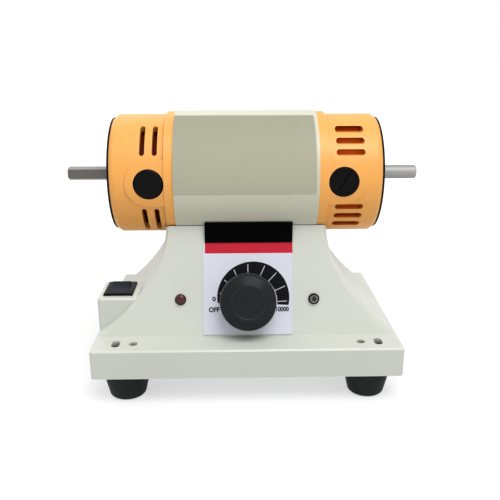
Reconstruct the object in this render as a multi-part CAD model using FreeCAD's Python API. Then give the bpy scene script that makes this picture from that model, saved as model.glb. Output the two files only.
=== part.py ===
import FreeCAD, Part
import math
import os

# Bench polishing lathe: a double-ended motor on a cast base.
# Millimetres. X runs along the spindle, +X to the right of someone at the bench, Y from front to
# back and Z up. The origin is on the bench, under the middle of the base.

V = FreeCAD.Vector

# ---- Driving dimensions ---------------------------------------------------------------------

# Base casting
plate_length = 216.0
plate_depth = 156.0
plate_height = 21.0
plate_wall = 4.0
plate_corner = 2.0
deck_thickness = 4.0
rim_chamfer = 1.0
axis_height = 107.7            # spindle above the deck
pedestal_half_depth = 54.6     # at the deck
face_lean = 16.5               # degrees, front and back faces
face_wall = 4.5
pedestal_overhang = 7.3        # pedestal top beyond each end of the motor tube
flare_foot_margin = 0.6        # flare foot inside the plate's end
flare_upper_radius = 58.0      # the flare's first arc, tangent to the upright
flare_upper_turn = 25.0        # degrees; a second arc runs on from there to the foot
flare_wall = 5.0
flare_chamfer = 2.0            # where the flares meet the leaning faces
saddle_wall = 5.0
saddle_bolt_radius = 2.5
saddle_bolt_head = 4.2
saddle_bolt_head_height = 3.5
saddle_bolt_reach = 1.5        # into the lug inside the tube

# Feet
foot_height = 20.5
foot_radius = 17.4             # at its top; it narrows towards the bench
foot_base_radius = 13.2
foot_round = 3.0
foot_inset_x = 22.0            # foot centre in from the plate's end and front
foot_inset_y = 19.0
foot_bore_depth = 10.0
foot_screw_radius = 1.55
foot_screw_head = 3.6
foot_screw_head_depth = 2.6
foot_boss_radius = 4.0
cover_thickness = 2.0
cover_gap = 0.3
cover_window_margin = 0.5      # of its corner cut-outs round the deck's openings

# Holes in the deck that bolt the machine down
bench_hole_radius = 3.0
bench_hole_spacing_x = 159.0
bench_hole_spacing_y = 132.4
bench_slot_width = 5.8
bench_slot_length = 10.0
bench_slot_spacing_x = 183.2

# Switch housing on the left flare
switch_block_margin = 0.5      # its outer wall inside the plate's end
switch_block_width = 36.0      # along Y
switch_block_height = 25.0     # above the deck
switch_block_wall = 3.5
switch_block_round = 2.5       # upright corners
switch_block_chamfer = 1.2     # round its top
switch_y = -26.0
switch_inset_x = 14.7          # rocker centre in from the plate's end
bezel_width = 21.0
bezel_length = 25.5
bezel_height = 1.8
rocker_width = 13.4
rocker_radius = 9.0            # half its length, about its pivot
rocker_tilt = 7.0              # degrees, each way from level
rocker_depth = 3.2             # of its body under the pivot
rocker_pivot_depth = 2.6       # under the frame's upper face
rocker_pin_radius = 1.2
rocker_pin_reach = 1.0         # into the frame, each side
rocker_gap = 0.3               # round the paddle
bezel_chamfer = 0.6
switch_body_width = 18.0
switch_body_length = 22.4
switch_body_depth = 17.0
terminal_width = 4.8
terminal_thickness = 0.8
terminal_length = 7.0
terminal_x = 4.5               # out from the switch's middle
terminal_y = 6.0

# Controls on the leaning front face: x across, s up the face from the deck
panel_left = -31.0
panel_right = 32.8
panel_low = 0.8
panel_high = 66.4
panel_thickness = 0.5
nameplate_left = -29.7
nameplate_high = 82.0
nameplate_bevel = 0.8          # along its upper edge
nameplate_foot = 1.2           # thickness at its lower edge
nameplate_head = 5.0           # thickness at its upper edge
knob_x = 0.7
knob_s = 25.0
knob_radius = 20.2             # of its skirt
knob_height = 18.5
knob_skirt_step = 0.6
knob_skirt_height = 3.5
knob_gap = 0.8                 # over the panel
knob_dish_radius = 11.2
knob_dish_depth = 0.7
knob_crown_radius = 12.4       # where its sloping shoulder starts
knob_shoulder_drop = 3.2       # from the crown down to its side
knob_roof = 3.2                # over the shaft's hole
knob_nut_recess = 5.0
knob_screw_height = 10.0
knob_screw_radius = 1.5
pot_shaft_radius = 3.0
pot_bushing_radius = 4.6
pot_bushing_height = 4.0       # over the panel
pot_body_radius = 12.0
pot_body_depth = 10.5
pot_body_floor = 2.0
pot_leg_reach = 4.0
pot_leg_half_width = 6.0
pot_leg_thickness = 1.5
pot_nut_flats = 11.0
pot_nut_height = 2.4
lamp_x = -47.3
lamp_s = 26.2
lamp_bezel_radius = 4.0
lamp_bezel_height = 0.8
lamp_sleeve = 0.35             # wall of the bezel's barrel
lens_radius = 3.4
lens_rise = 1.8
lens_nose = 1.0
jack_x = 47.9
jack_s = 26.0
jack_nut_radius = 3.9
jack_nut_height = 1.8
jack_barrel_radius = 2.8
jack_rise = 2.0                # over the face
jack_body = (9.0, 11.0, 12.0)
jack_bore_radius = 1.8
jack_bore_depth = 14.0
gland_x = -47.3
gland_s = 26.0
gland_flats = 18.0
gland_flange = 4.0
gland_nose_radius = 6.4
gland_barrel_radius = 7.4
gland_bore_radius = 3.6
gland_length = 13.0
gland_barrel_reach = 6.0       # past the wall
gland_ring_thickness = 3.5

# Motor housing
tube_length = 100.0
tube_radius = 45.5
tube_wall = 3.0
label_thickness = 0.25
label_low = -8.0               # degrees above the front horizontal
label_high = 71.0
label_right_margin = 2.4
cap_length = 43.8
cap_flange_length = 6.3
cap_flange_step = 0.7          # flange radius under the tube's
cap_body_step = 2.6            # body radius under the tube's
cap_end_step = 4.9             # end radius under the tube's
cap_end_chamfer = 3.0          # its length
cap_wall = 2.5
cap_spigot = 6.0
cap_column_half = 3.4          # half the width of a screw column
cap_column_angles = (90.0, -90.0)
cap_screw_radius = 1.9
cap_screw_head = 3.3
cap_screw_head_height = 2.1
cap_screw_sink = 2.4
cap_hub_wall = 3.5             # round the bearing
spindle_hole_clear = 1.5
lug_length = 8.0
end_disc_thickness = 1.6
end_disc_hub_radius = 12.0
end_disc_hub_height = 1.0

# Openings of the end caps: x from the tube's end, angles above the front horizontal
boss_share = 5 / 12            # where the lock button and brush caps stand, from as near the tube as
                               # they fit to as near the bearing as the commutator fits
boss_land_radius = 16.0
boss_land_height = 1.0
intake_slot_length = 20.0
intake_slot_height = 4.15
intake_slot_inset = 21.7       # its middle
intake_slot_levels = (34.6, 27.6, 20.5, -17.2, -24.5, -32.0)     # above the axis
outlet_slot_width = 3.6
outlet_slot_insets = (12.5, 21.1)
outlet_slot_spans = ((26.0, 59.0), (-61.5, -25.0))
guard_start = 9.0              # the finger guard's edge
guard_gap = 2.8                # between the cap's wall and the guard
guard_thickness = 0.8
guard_low = 25.0
guard_high = 83.0

# Rotor
spindle_length = 258.4
spindle_shift = -1.7           # of its middle, towards its left end
spindle_radius = 5.0
spindle_core_radius = 6.5
spindle_chamfer = 0.8
spindle_flat_depth = 1.3       # of the flat on its left end
relief_width = 1.2             # of the groove at the foot of each free end
relief_depth = 0.4
bearing_radius = 15.0
bearing_width = 9.0
bearing_inner_ring = 7.5
bearing_gap = 0.3              # between its rings
stack_length = 50.0
air_gap = 0.8
stator_bore_radius = 25.3
yoke_width = 6.4
pole_width = 24.0
pole_shoe = 3.8
pole_shoe_angle = 62.0         # half angle
coil_width = 8.7
coil_overhang = 9.0
armature_slots = 12
armature_slot_width = 3.4
armature_slot_depth = 9.0
winding_overhang = 11.0
winding_inset = 2.0            # under the armature's rim
insulation = 0.3               # between a winding and the iron or the commutator
commutator_radius = 12.5
commutator_length = 17.0
fan_clear = 0.3                # from the screw lugs in the tube
fan_length = 11.0
fan_hub_radius = 10.0
fan_plate = 1.6
fan_blades = 8
fan_blade_thickness = 1.4
fan_blade_turn = 25.0          # degrees from the radius
fan_setback = 3.0              # from the winding
lock_collar_radius = 11.0
lock_collar_length = 12.0
lock_collar_holes = 4
lock_collar_spare = 0.6        # hole past the pin's tip when the button is pushed
lock_collar_hole_clear = 0.35

# Brush gear
brush_turn = 1.5               # degrees above the horizontal
brush_width = 8.0              # along X
brush_thickness = 6.2
brush_length = 14.0
brush_gap = 0.3                # from the commutator
brush_holder_wall = 1.2
brush_holder_gap = 1.8         # over the commutator
brush_cap_radius = 10.4
brush_cap_height = 4.6
brush_cap_depth = 4.2          # of its seat in the cap
brush_cap_rim = 2.0
brush_cap_chamfer = 0.6
brush_cap_dish = 1.0
brush_cap_slot = (13.0, 1.6, 2.4)         # long, wide, deep
brush_cap_slot_turn = 60.0
brush_boss_depth = 24.0        # of the boss, out from the axis
brush_boss_wall = 2.2
brush_spring_radius = 2.6
brush_spring_wire = 0.7
brush_spring_turns = 3

# Spindle lock
lock_head_radius = 10.45
lock_head_height = 8.0
lock_head_chamfer = 1.0
lock_head_sunk = 0.4           # under the land's face
lock_depth = 17.0              # of its well in the cap
lock_travel = 4.0
lock_pin_radius = 2.85
lock_pin_clear = 1.0           # pin tip from the collar at rest
lock_floor_thickness = 2.5
lock_clip_radius = 4.6
lock_clip_thickness = 1.2
lock_clip_groove = 0.6
lock_clip_slit = 2.4
lock_clip_setback = 0.2        # behind the floor
lock_spring_radius = 6.0
lock_spring_wire = 0.9
lock_spring_turns = 3

# Electronics on the bottom cover
board_length = 64.0
board_depth = 44.0
board_thickness = 1.6
spacer_height = 6.0
spacer_flats = 6.0
spacer_inset = 4.5
capacitor_length = 18.0
capacitor_depth = 9.0
capacitor_height = 14.0
heat_sink_width = 26.0
heat_sink_depth = 14.0
heat_sink_height = 20.0
heat_sink_fins = 5
heat_sink_fin = 1.4
heat_sink_base = 3.0
heat_sink_gap = 1.0            # from the spacers
triac_width = 10.0
triac_depth = 4.5
triac_height = 9.0
triac_tab_height = 6.0
triac_tab_thickness = 1.3
triac_leg_length = 4.0
triac_leg_pitch = 2.5

# Springs
coil_runs = 8                  # straight runs in a turn

# Clearances
seat_gap = 0.1                 # between pieces that are bolted or pressed together
running_gap = 0.05             # shaft in bore, button in guide
screw_clear = 0.3              # screw in a drilled hole

# ---- Sizes that follow ----------------------------------------------------------------------

deck_z = foot_height + plate_height
axis_z = deck_z + axis_height
half_length = plate_length / 2
half_depth = plate_depth / 2
tube_end = tube_length / 2
tube_bore = tube_radius - tube_wall
lean = math.radians(face_lean)
switch_x = -half_length + switch_inset_x
switch_top = deck_z + switch_block_height
pivot_z = switch_top + bezel_height - rocker_pivot_depth
pedestal_half_top = tube_end + pedestal_overhang
cap_end = tube_end + cap_length
cap_flange_radius = tube_radius - cap_flange_step
cap_body_radius = tube_radius - cap_body_step
cap_end_radius = tube_radius - cap_end_step
spigot_radius = tube_bore - seat_gap
column_circle = cap_end_radius - cap_wall - cap_column_half
end_wall = cap_end - cap_wall
bearing_out = end_wall - 1.0
bearing_in = bearing_out - bearing_width
boss_near = tube_end + brush_cap_radius + brush_boss_wall
boss_far = bearing_in - commutator_length / 2
boss_x = boss_near + boss_share * (boss_far - boss_near)
relief_end = cap_end + end_disc_thickness + end_disc_hub_height
armature_radius = stator_bore_radius - air_gap
fan_radius = column_circle - cap_column_half - fan_clear
stack_half = stack_length / 2
board_z = foot_height + cover_thickness + spacer_height
board_top = board_z + board_thickness
spindle_hole = spindle_radius + spindle_hole_clear
shaft_bore = spindle_core_radius + running_gap
commutator_start = boss_x - commutator_length / 2
fan_start = -stack_half - winding_overhang - fan_length - fan_setback
brush_cap_floor = cap_body_radius - brush_cap_depth
lock_floor = cap_body_radius - lock_depth
lock_head_face = cap_body_radius + boss_land_height - lock_head_sunk
clip_start = lock_clip_setback - lock_floor


def saddle_edge_height():
    """Height above the deck where the leaning faces meet the motor tube."""
    t = math.tan(lean)
    a = 1 + t * t
    b = pedestal_half_depth * t + axis_height
    c = pedestal_half_depth ** 2 + axis_height ** 2 - tube_radius ** 2
    return (b - math.sqrt(b * b - a * c)) / a


saddle_edge = saddle_edge_height()

# ---- Small helpers --------------------------------------------------------------------------


def box(x0, x1, y0, y1, z0, z1):
    return Part.makeBox(x1 - x0, y1 - y0, z1 - z0, V(x0, y0, z0))


def cylinder(axis, start, end, radius, at=(0.0, 0.0)):
    """A round bar along an axis; at holds its two other coordinates, in X, Y, Z order."""
    foot = {"x": V(start, at[0], at[1]), "y": V(at[0], start, at[1]), "z": V(at[0], at[1], start)}
    way = {"x": V(1, 0, 0), "y": V(0, 1, 0), "z": V(0, 0, 1)}
    return Part.makeCylinder(radius, end - start, foot[axis], way[axis])


def ring(axis, start, end, outer, inner, at=(0.0, 0.0)):
    hole = cylinder(axis, start - 1, end + 1, inner, at)
    return cylinder(axis, start, end, outer, at).cut(hole)


def on_axis(start, end, radius):
    """A round bar on the spindle's axis."""
    return cylinder("x", start, end, radius, (0.0, axis_z))


def ring_on_axis(start, end, outer, inner):
    return ring("x", start, end, outer, inner, (0.0, axis_z))


def face_of(points):
    corners = [V(*p) for p in points]
    return Part.Face(Part.makePolygon(corners + corners[:1]))


def revolved(points):
    """A solid turned about the spindle's axis from an outline of (x, radius) points."""
    outline = face_of([(x, 0, axis_z + r) for x, r in points])
    return outline.revolve(V(0, 0, axis_z), V(1, 0, 0), 360)


def turned(points):
    """A solid turned about Z from an outline of (radius, z) points."""
    return face_of([(r, 0, z) for r, z in points]).revolve(V(0, 0, 0), V(0, 0, 1), 360)


def moved(shape, x=0.0, y=0.0, z=0.0):
    copy = shape.copy()
    copy.translate(V(x, y, z))
    return copy


def mirror_x(shape):
    return shape.mirror(V(0, 0, 0), V(1, 0, 0))


def mirror_y(shape):
    return shape.mirror(V(0, 0, 0), V(0, 1, 0))


def raised(shape, degrees):
    """A copy turned about the spindle's axis, from the front horizontal upwards."""
    copy = shape.copy()
    copy.rotate(V(0, 0, axis_z), V(1, 0, 0), -degrees)
    return copy


def fused(shapes):
    return shapes[0].multiFuse(shapes[1:]).removeSplitter()


def on_face(shape, x=0.0, s=0.0):
    """Puts a shape made at the origin, with +Z outwards, on the leaning front face."""
    copy = shape.copy()
    copy.translate(V(x, s, 0))
    copy.rotate(V(0, 0, 0), V(1, 0, 0), 90 - face_lean)
    copy.translate(V(0, -pedestal_half_depth, deck_z))
    return copy


def on_back_face(shape, x=0.0, s=0.0):
    return mirror_y(on_face(shape, x, s))


def rounded_block(x0, x1, y0, y1, z0, z1, radius):
    """A block with its four upright edges rounded."""
    block = box(x0, x1, y0, y1, z0, z1)
    upright = [e for e in block.Edges if e.BoundBox.ZLength > (z1 - z0) / 2]
    return block.makeFillet(radius, upright)


def coil_spring(radius, wire, height, turns):
    """A coil of square wire on Z = 0, bent in straight runs, that ends at height."""
    runs = coil_runs * turns
    rise = height - wire
    points = []
    for i in range(runs + 1):
        angle = 2 * math.pi * i / coil_runs
        points.append(V(radius * math.cos(angle), radius * math.sin(angle), wire / 2 + rise * i / runs))
    half = wire / 2
    section = Part.makePolygon([
        V(radius - half, 0, 0),
        V(radius + half, 0, 0),
        V(radius + half, 0, wire),
        V(radius - half, 0, wire),
        V(radius - half, 0, 0),
    ])
    return Part.makePolygon(points).makePipeShell([section], True, True, 1)


os.makedirs("parts", exist_ok=True)
made = {}


def save(name, *shapes):
    """Writes one node; several shapes are a group of separate solids."""
    shape = shapes[0] if len(shapes) == 1 else Part.makeCompound(list(shapes))
    shape.exportStep(f"parts/{name}.step")
    made[name] = shape


# ---- Base casting ---------------------------------------------------------------------------


def on_arc(start, radius, from_turn, to_turn):
    """The point where an arc, which leaves start at from_turn off the vertical, has turned to to_turn."""
    across = radius * (math.cos(from_turn) - math.cos(to_turn))
    down = radius * (math.sin(to_turn) - math.sin(from_turn))
    return start + V(across, 0, -down)


def flared_outline(inset, low, high):
    """The pedestal's front view, with both concave flares, as a face in the XZ plane."""
    top_x = pedestal_half_top - inset
    foot_x = half_length - flare_foot_margin - inset
    top_z = deck_z + saddle_edge
    turn = math.radians(flare_upper_turn)
    start = V(top_x, 0, top_z)
    upper_mid = on_arc(start, flare_upper_radius, 0, turn / 2)
    knee = on_arc(start, flare_upper_radius, 0, turn)
    foot_point = V(foot_x, 0, deck_z)
    chord = foot_point - knee
    chord_angle = math.atan2(chord.x, -chord.z)
    lower_radius = chord.Length / 2 / math.sin(chord_angle - turn)
    lower_mid = on_arc(knee, lower_radius, turn, chord_angle)
    upper_arc = Part.Arc(start, upper_mid, knee).toShape()
    lower_arc = Part.Arc(knee, lower_mid, foot_point).toShape()
    arcs = [upper_arc, lower_arc, mirror_x(upper_arc), mirror_x(lower_arc)]
    top = Part.makePolygon([
        V(-top_x, 0, deck_z + saddle_edge),
        V(-top_x, 0, deck_z + high),
        V(top_x, 0, deck_z + high),
        V(top_x, 0, deck_z + saddle_edge),
    ])
    foot = Part.makePolygon([
        V(foot_x, 0, deck_z),
        V(foot_x, 0, deck_z + low),
        V(-foot_x, 0, deck_z + low),
        V(-foot_x, 0, deck_z),
    ])
    edges = arcs + top.Edges + foot.Edges
    return Part.Face(Part.Wire(Part.__sortEdges__(edges)))


def leaning_prism(inset, low, high):
    """The space between the leaning front and back faces, over the plate's whole length."""
    def half(z):
        return pedestal_half_depth - inset / math.cos(lean) - z * math.tan(lean)
    outline = face_of([
        (-half_length, -half(low), deck_z + low),
        (-half_length, -half(high), deck_z + high),
        (-half_length, half(high), deck_z + high),
        (-half_length, half(low), deck_z + low),
    ])
    return outline.extrude(V(plate_length, 0, 0))


def pedestal(inset_x, inset_y, low):
    high = saddle_edge + flare_chamfer
    front = flared_outline(inset_x, low, high).extrude(V(0, plate_depth, 0))
    front.translate(V(0, -half_depth, 0))
    return front.common(leaning_prism(inset_y, low, high))


def flare_corners(shape):
    """The curved edges where the flares meet the leaning faces."""
    return [e for e in shape.Edges
            if e.Curve.TypeId != "Part::GeomLine" and e.BoundBox.ZLength > saddle_edge / 2
            and e.BoundBox.YLength > 1]


def switch_block():
    left = -half_length + switch_block_margin
    front = switch_y - switch_block_width / 2
    back = switch_y + switch_block_width / 2
    top = deck_z + switch_block_height
    block = box(left, -pedestal_half_top, front, back, deck_z - deck_thickness / 2, top)
    upright = [e for e in block.Edges if e.BoundBox.XMax < left + 0.1 and e.BoundBox.ZLength > 1]
    block = block.makeFillet(switch_block_round, upright)
    rim = [e for e in block.Edges if e.BoundBox.ZMin > top - 0.1 and e.BoundBox.XMin < -pedestal_half_top - 1]
    return block.makeChamfer(switch_block_chamfer, rim)


def switch_block_hollow():
    wall = switch_block_wall
    left = -half_length + switch_block_margin + wall
    front = switch_y - switch_block_width / 2 + wall
    back = switch_y + switch_block_width / 2 - wall
    top = deck_z + switch_block_height - wall
    inside = box(left, -pedestal_half_top, front, back, deck_z - 2 * deck_thickness, top)
    cutout = box(switch_x - switch_body_width / 2 - seat_gap, switch_x + switch_body_width / 2 + seat_gap,
                 switch_y - switch_body_length / 2 - seat_gap, switch_y + switch_body_length / 2 + seat_gap,
                 top - 1, top + 2 * wall)
    return inside.fuse(cutout)


def foot_places():
    x = half_length - foot_inset_x
    y = half_depth - foot_inset_y
    return {"front_left": (-x, -y), "front_right": (x, -y), "rear_left": (-x, y), "rear_right": (x, y)}


def bench_openings(low, high):
    """Round holes and slots at the four corners of the deck, as cutters."""
    cutters = []
    for side_x in (-1, 1):
        for side_y in (-1, 1):
            y = side_y * bench_hole_spacing_y / 2
            hole_x = side_x * bench_hole_spacing_x / 2
            slot_x = side_x * bench_slot_spacing_x / 2
            cutters.append(cylinder("z", low, high, bench_hole_radius, (hole_x, y)))
            r = bench_slot_width / 2
            straight = (bench_slot_length - bench_slot_width) / 2
            cutters.append(box(slot_x - r, slot_x + r, y - straight, y + straight, low, high))
            for end in (-straight, straight):
                cutters.append(cylinder("z", low, high, r, (slot_x, y + end)))
    return cutters


def saddle_bolt_places():
    """Under the middles of the tube's lower lugs, which the bolts screw into."""
    x = tube_end - cap_spigot - seat_gap - lug_length / 2
    return (-x, x)


def base_casting():
    plate = rounded_block(-half_length, half_length, -half_depth, half_depth, foot_height, deck_z,
                          plate_corner)
    rim = [e for e in plate.Edges if e.BoundBox.ZMin > deck_z - 0.1]
    plate = plate.makeChamfer(rim_chamfer, rim)
    upper = pedestal(0, 0, -deck_thickness / 2)
    upper = upper.makeChamfer(flare_chamfer, flare_corners(upper))
    saddle = on_axis(-half_length, half_length, tube_radius + seat_gap)
    body = fused([plate, upper, switch_block()]).cut(saddle)

    inner_x = half_length - plate_wall
    inner_y = half_depth - plate_wall
    under = rounded_block(-inner_x, inner_x, -inner_y, inner_y, foot_height - 1, deck_z - deck_thickness,
                          plate_corner / 2)
    inside = pedestal(flare_wall, face_wall, -deck_thickness - 1)
    inside = inside.cut(on_axis(-half_length, half_length, tube_radius + saddle_wall))
    body = body.cut(fused([under, inside, switch_block_hollow()]))

    cover_top = foot_height + cover_thickness
    bosses = [cylinder("z", cover_top, deck_z - deck_thickness / 2, foot_boss_radius, place)
              for place in foot_places().values()]
    body = fused([body] + bosses)

    holes = bench_openings(deck_z - 2 * deck_thickness, deck_z + 1)
    holes += [cylinder("z", foot_height, deck_z - deck_thickness, foot_screw_radius + running_gap, place)
              for place in foot_places().values()]
    holes += [cylinder("z", deck_z, axis_z, saddle_bolt_radius + seat_gap, (x, 0))
              for x in saddle_bolt_places()]
    through = 2 * face_wall
    holes.append(on_face(cylinder("z", -through, 1, pot_bushing_radius + seat_gap), knob_x, knob_s))
    holes.append(on_face(cylinder("z", -through, 1, lens_radius + lamp_sleeve + seat_gap), lamp_x, lamp_s))
    holes.append(on_face(cylinder("z", -through, 1, jack_barrel_radius + seat_gap), jack_x, jack_s))
    holes.append(on_back_face(cylinder("z", -through, 1, gland_barrel_radius + seat_gap), gland_x, gland_s))
    return body.cut(Part.makeCompound(holes))


save("base_casting", base_casting())

# ---- Underside and feet ---------------------------------------------------------------------


def bottom_cover():
    x = half_length - plate_wall - cover_gap
    y = half_depth - plate_wall - cover_gap
    top = foot_height + cover_thickness
    sheet = rounded_block(-x, x, -y, y, foot_height, top, plate_corner / 2)
    holes = [cylinder("z", foot_height - 1, top + 1, foot_screw_radius + screw_clear, place)
             for place in foot_places().values()]
    near = bench_hole_spacing_x / 2 - bench_hole_radius - cover_window_margin
    far = bench_slot_spacing_x / 2 + bench_slot_width / 2 + cover_window_margin
    low = bench_hole_spacing_y / 2 - bench_slot_length / 2
    window = box(near, far, low, half_depth, foot_height - 1, top + 1)
    holes += [window, mirror_x(window), mirror_y(window), mirror_x(mirror_y(window))]
    return sheet.cut(Part.makeCompound(holes))


def foot():
    bore = foot_screw_head + 1
    hole = foot_screw_radius + screw_clear
    cone = turned([
        (bore, 0),
        (foot_base_radius, 0),
        (foot_radius, foot_height),
        (hole, foot_height),
        (hole, foot_bore_depth),
        (bore, foot_bore_depth),
    ])
    rim = [e for e in cone.Edges if e.BoundBox.ZMax < 0.1 and e.BoundBox.XMax > bore + 1]
    return cone.makeFillet(foot_round, rim)


def foot_screw():
    head = cylinder("z", foot_bore_depth - foot_screw_head_depth, foot_bore_depth, foot_screw_head)
    shank = cylinder("z", foot_bore_depth, deck_z - deck_thickness - 2, foot_screw_radius)
    return fused([head, shank])


save("bottom_cover", bottom_cover())
for corner, (x, y) in foot_places().items():
    save(f"foot_{corner}", moved(foot(), x, y))
save("foot_screws", *[moved(foot_screw(), x, y) for x, y in foot_places().values()])

# ---- Controls on the front face -------------------------------------------------------------


def front_panel():
    sheet = box(panel_left, panel_right, panel_low, panel_high, 0, panel_thickness)
    hole = cylinder("z", -1, 1, pot_bushing_radius + screw_clear, (knob_x, knob_s))
    return on_face(sheet.cut(hole))


def nameplate():
    """A bare wedge-shaped plate; its upper edge stands in front of the motor tube, clear of it."""
    profile = face_of([
        (0, panel_high + seat_gap, 0),
        (0, nameplate_high, 0),
        (0, nameplate_high, nameplate_head - nameplate_bevel),
        (0, nameplate_high - nameplate_bevel, nameplate_head),
        (0, panel_high + seat_gap, nameplate_foot),
    ])
    wedge = on_face(profile.extrude(V(panel_right - nameplate_left, 0, 0)), nameplate_left)
    return wedge.cut(on_axis(-tube_end, tube_end, tube_radius + 3 * label_thickness))


def potentiometer():
    back = -face_wall - pot_body_depth
    end = panel_thickness + pot_bushing_height
    body = cylinder("z", back, -face_wall - seat_gap, pot_body_radius)
    bushing = cylinder("z", -face_wall - 1, end, pot_bushing_radius)
    legs = box(-pot_leg_half_width, pot_leg_half_width,
               -pot_body_radius - pot_leg_reach, -pot_body_radius + pot_body_floor,
               back / 2, back / 2 + pot_leg_thickness)
    bore = cylinder("z", back + pot_body_floor, end + 1, pot_shaft_radius + running_gap)
    return fused([body, bushing, legs]).cut(bore)


def hexagon(flats, low, high):
    corner = flats / 2 / math.cos(math.radians(30))
    points = [(corner * math.cos(math.radians(60 * i)), corner * math.sin(math.radians(60 * i)), low)
              for i in range(6)]
    return face_of(points).extrude(V(0, 0, high - low))


def pot_nut():
    low = panel_thickness
    nut = hexagon(pot_nut_flats, low, low + pot_nut_height)
    return nut.cut(cylinder("z", low - 1, low + pot_nut_height + 1, pot_bushing_radius + seat_gap))


def pot_shaft():
    low = -face_wall - pot_body_depth + pot_body_floor + seat_gap
    high = panel_thickness + knob_gap + knob_height - knob_roof - seat_gap
    return cylinder("z", low, high, pot_shaft_radius)


def speed_knob():
    """A skirt, a straight side, a shoulder that slopes up to the crown and a shallow dish in it."""
    low = panel_thickness + knob_gap
    top = low + knob_height
    side = knob_radius - knob_skirt_step
    bore = pot_shaft_radius + seat_gap
    nut_room = pot_nut_flats / 2 / math.cos(math.radians(30)) + 1
    body = turned([
        (nut_room, low),
        (knob_radius, low),
        (knob_radius, low + knob_skirt_height),
        (side, low + knob_skirt_height),
        (side, top - knob_shoulder_drop),
        (knob_crown_radius, top),
        (knob_dish_radius, top),
        (knob_dish_radius, top - knob_dish_depth),
        (0, top - knob_dish_depth),
        (0, top - knob_roof),
        (bore, top - knob_roof),
        (bore, low + knob_nut_recess),
        (nut_room, low + knob_nut_recess),
    ])
    hole = cylinder("y", -knob_radius - 1, 0, knob_screw_radius + seat_gap, (0, low + knob_screw_height))
    return body.cut(hole)


def knob_screw():
    height = panel_thickness + knob_gap + knob_screw_height
    return cylinder("y", -knob_radius + 4, -pot_shaft_radius - seat_gap, knob_screw_radius, (0, height))


def indicator_bezel():
    flange = cylinder("z", 0, lamp_bezel_height, lamp_bezel_radius)
    barrel = cylinder("z", -face_wall - 3, lamp_bezel_height / 2, lens_radius + lamp_sleeve)
    return fused([flange, barrel]).cut(cylinder("z", -face_wall - 4, 2, lens_radius + seat_gap))


def indicator_lens():
    """A barrel with a bevelled nose."""
    return turned([
        (0, -face_wall - 2),
        (lens_radius, -face_wall - 2),
        (lens_radius, lens_rise),
        (lens_radius * 0.7, lens_rise + lens_nose),
        (0, lens_rise + lens_nose),
    ])


def jack_socket():
    barrel = cylinder("z", -face_wall - 1, jack_rise, jack_barrel_radius)
    wide, high, deep = jack_body
    back = -face_wall - seat_gap
    body = box(-wide / 2, wide / 2, -high / 2, high / 2, back - deep, back)
    bore = cylinder("z", jack_rise - jack_bore_depth, jack_rise + 1, jack_bore_radius)
    return fused([barrel, body]).cut(bore)


def jack_nut():
    return ring("z", 0, jack_nut_height, jack_nut_radius, jack_barrel_radius + seat_gap)


def cord_gland():
    nose = cylinder("z", 1, gland_length, gland_nose_radius)
    flange = hexagon(gland_flats, 0, gland_flange)
    end = -face_wall - gland_barrel_reach
    barrel = cylinder("z", end, 1, gland_barrel_radius)
    body = fused([flange, barrel, nose])
    return body.cut(cylinder("z", end - 1, gland_length + 1, gland_bore_radius))


def gland_ring():
    top = -face_wall - seat_gap
    low = top - gland_ring_thickness
    nut = hexagon(gland_flats, low, top)
    return nut.cut(cylinder("z", low - 1, top + 1, gland_barrel_radius + seat_gap))


save("front_panel", front_panel())
save("nameplate", nameplate())
save("potentiometer", on_face(potentiometer(), knob_x, knob_s))
save("pot_nut", on_face(pot_nut(), knob_x, knob_s))
save("pot_shaft", on_face(pot_shaft(), knob_x, knob_s))
save("speed_knob", on_face(speed_knob(), knob_x, knob_s))
save("knob_screw", on_face(knob_screw(), knob_x, knob_s))
save("indicator_bezel", on_face(indicator_bezel(), lamp_x, lamp_s))
save("indicator_lens", on_face(indicator_lens(), lamp_x, lamp_s))
save("jack_socket", on_face(jack_socket(), jack_x, jack_s))
save("jack_nut", on_face(jack_nut(), jack_x, jack_s))
save("cord_gland", on_back_face(cord_gland(), gland_x, gland_s))
save("gland_ring", on_back_face(gland_ring(), gland_x, gland_s))

# ---- Rocker switch, made with its pivot at the origin ---------------------------------------


def rocker_frame():
    low = switch_top - pivot_z
    bezel = box(-bezel_width / 2, bezel_width / 2, -bezel_length / 2, bezel_length / 2,
                low, low + bezel_height)
    rim = [e for e in bezel.Edges if e.BoundBox.ZMin > low + bezel_height - 0.1]
    bezel = bezel.makeChamfer(bezel_chamfer, rim)
    body = box(-switch_body_width / 2, switch_body_width / 2, -switch_body_length / 2,
               switch_body_length / 2, low - switch_body_depth, low + 0.5)
    room = rocker_radius + rocker_gap
    half = rocker_width / 2 + rocker_gap
    well = cylinder("x", -half, half, room)
    mouth = box(-half, half, -room, room, 0, low + 2 * bezel_height)
    socket = half + rocker_pin_reach
    pins = cylinder("x", -socket, socket, rocker_pin_radius + running_gap)
    return fused([bezel, body]).cut(fused([well, mouth, pins]))


def rocker_paddle():
    """A disc about the pivot, cut to two shallow facets on top and flat below."""
    disc = cylinder("x", -rocker_width / 2, rocker_width / 2, rocker_radius)
    half = rocker_width / 2 + 1
    rise = rocker_radius * 2 * math.tan(math.radians(rocker_tilt))
    reach = 2 * rocker_radius
    middle = rocker_pivot_depth
    keep = face_of([
        (-half, 0, middle),
        (-half, reach, middle + rise),
        (-half, reach, -rocker_depth),
        (-half, -reach, -rocker_depth),
        (-half, -reach, middle + rise),
    ]).extrude(V(2 * half, 0, 0))
    pin_end = rocker_width / 2 + rocker_pin_reach
    pins = cylinder("x", -pin_end, pin_end, rocker_pin_radius)
    paddle = fused([disc.common(keep), pins])
    paddle.rotate(V(0, 0, 0), V(1, 0, 0), rocker_tilt)
    return paddle


def switch_terminal(x, y):
    top = switch_top - pivot_z - switch_body_depth
    wide = terminal_width / 2
    thick = terminal_thickness / 2
    return box(x - wide, x + wide, y - thick, y + thick, top - terminal_length, top)


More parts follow.
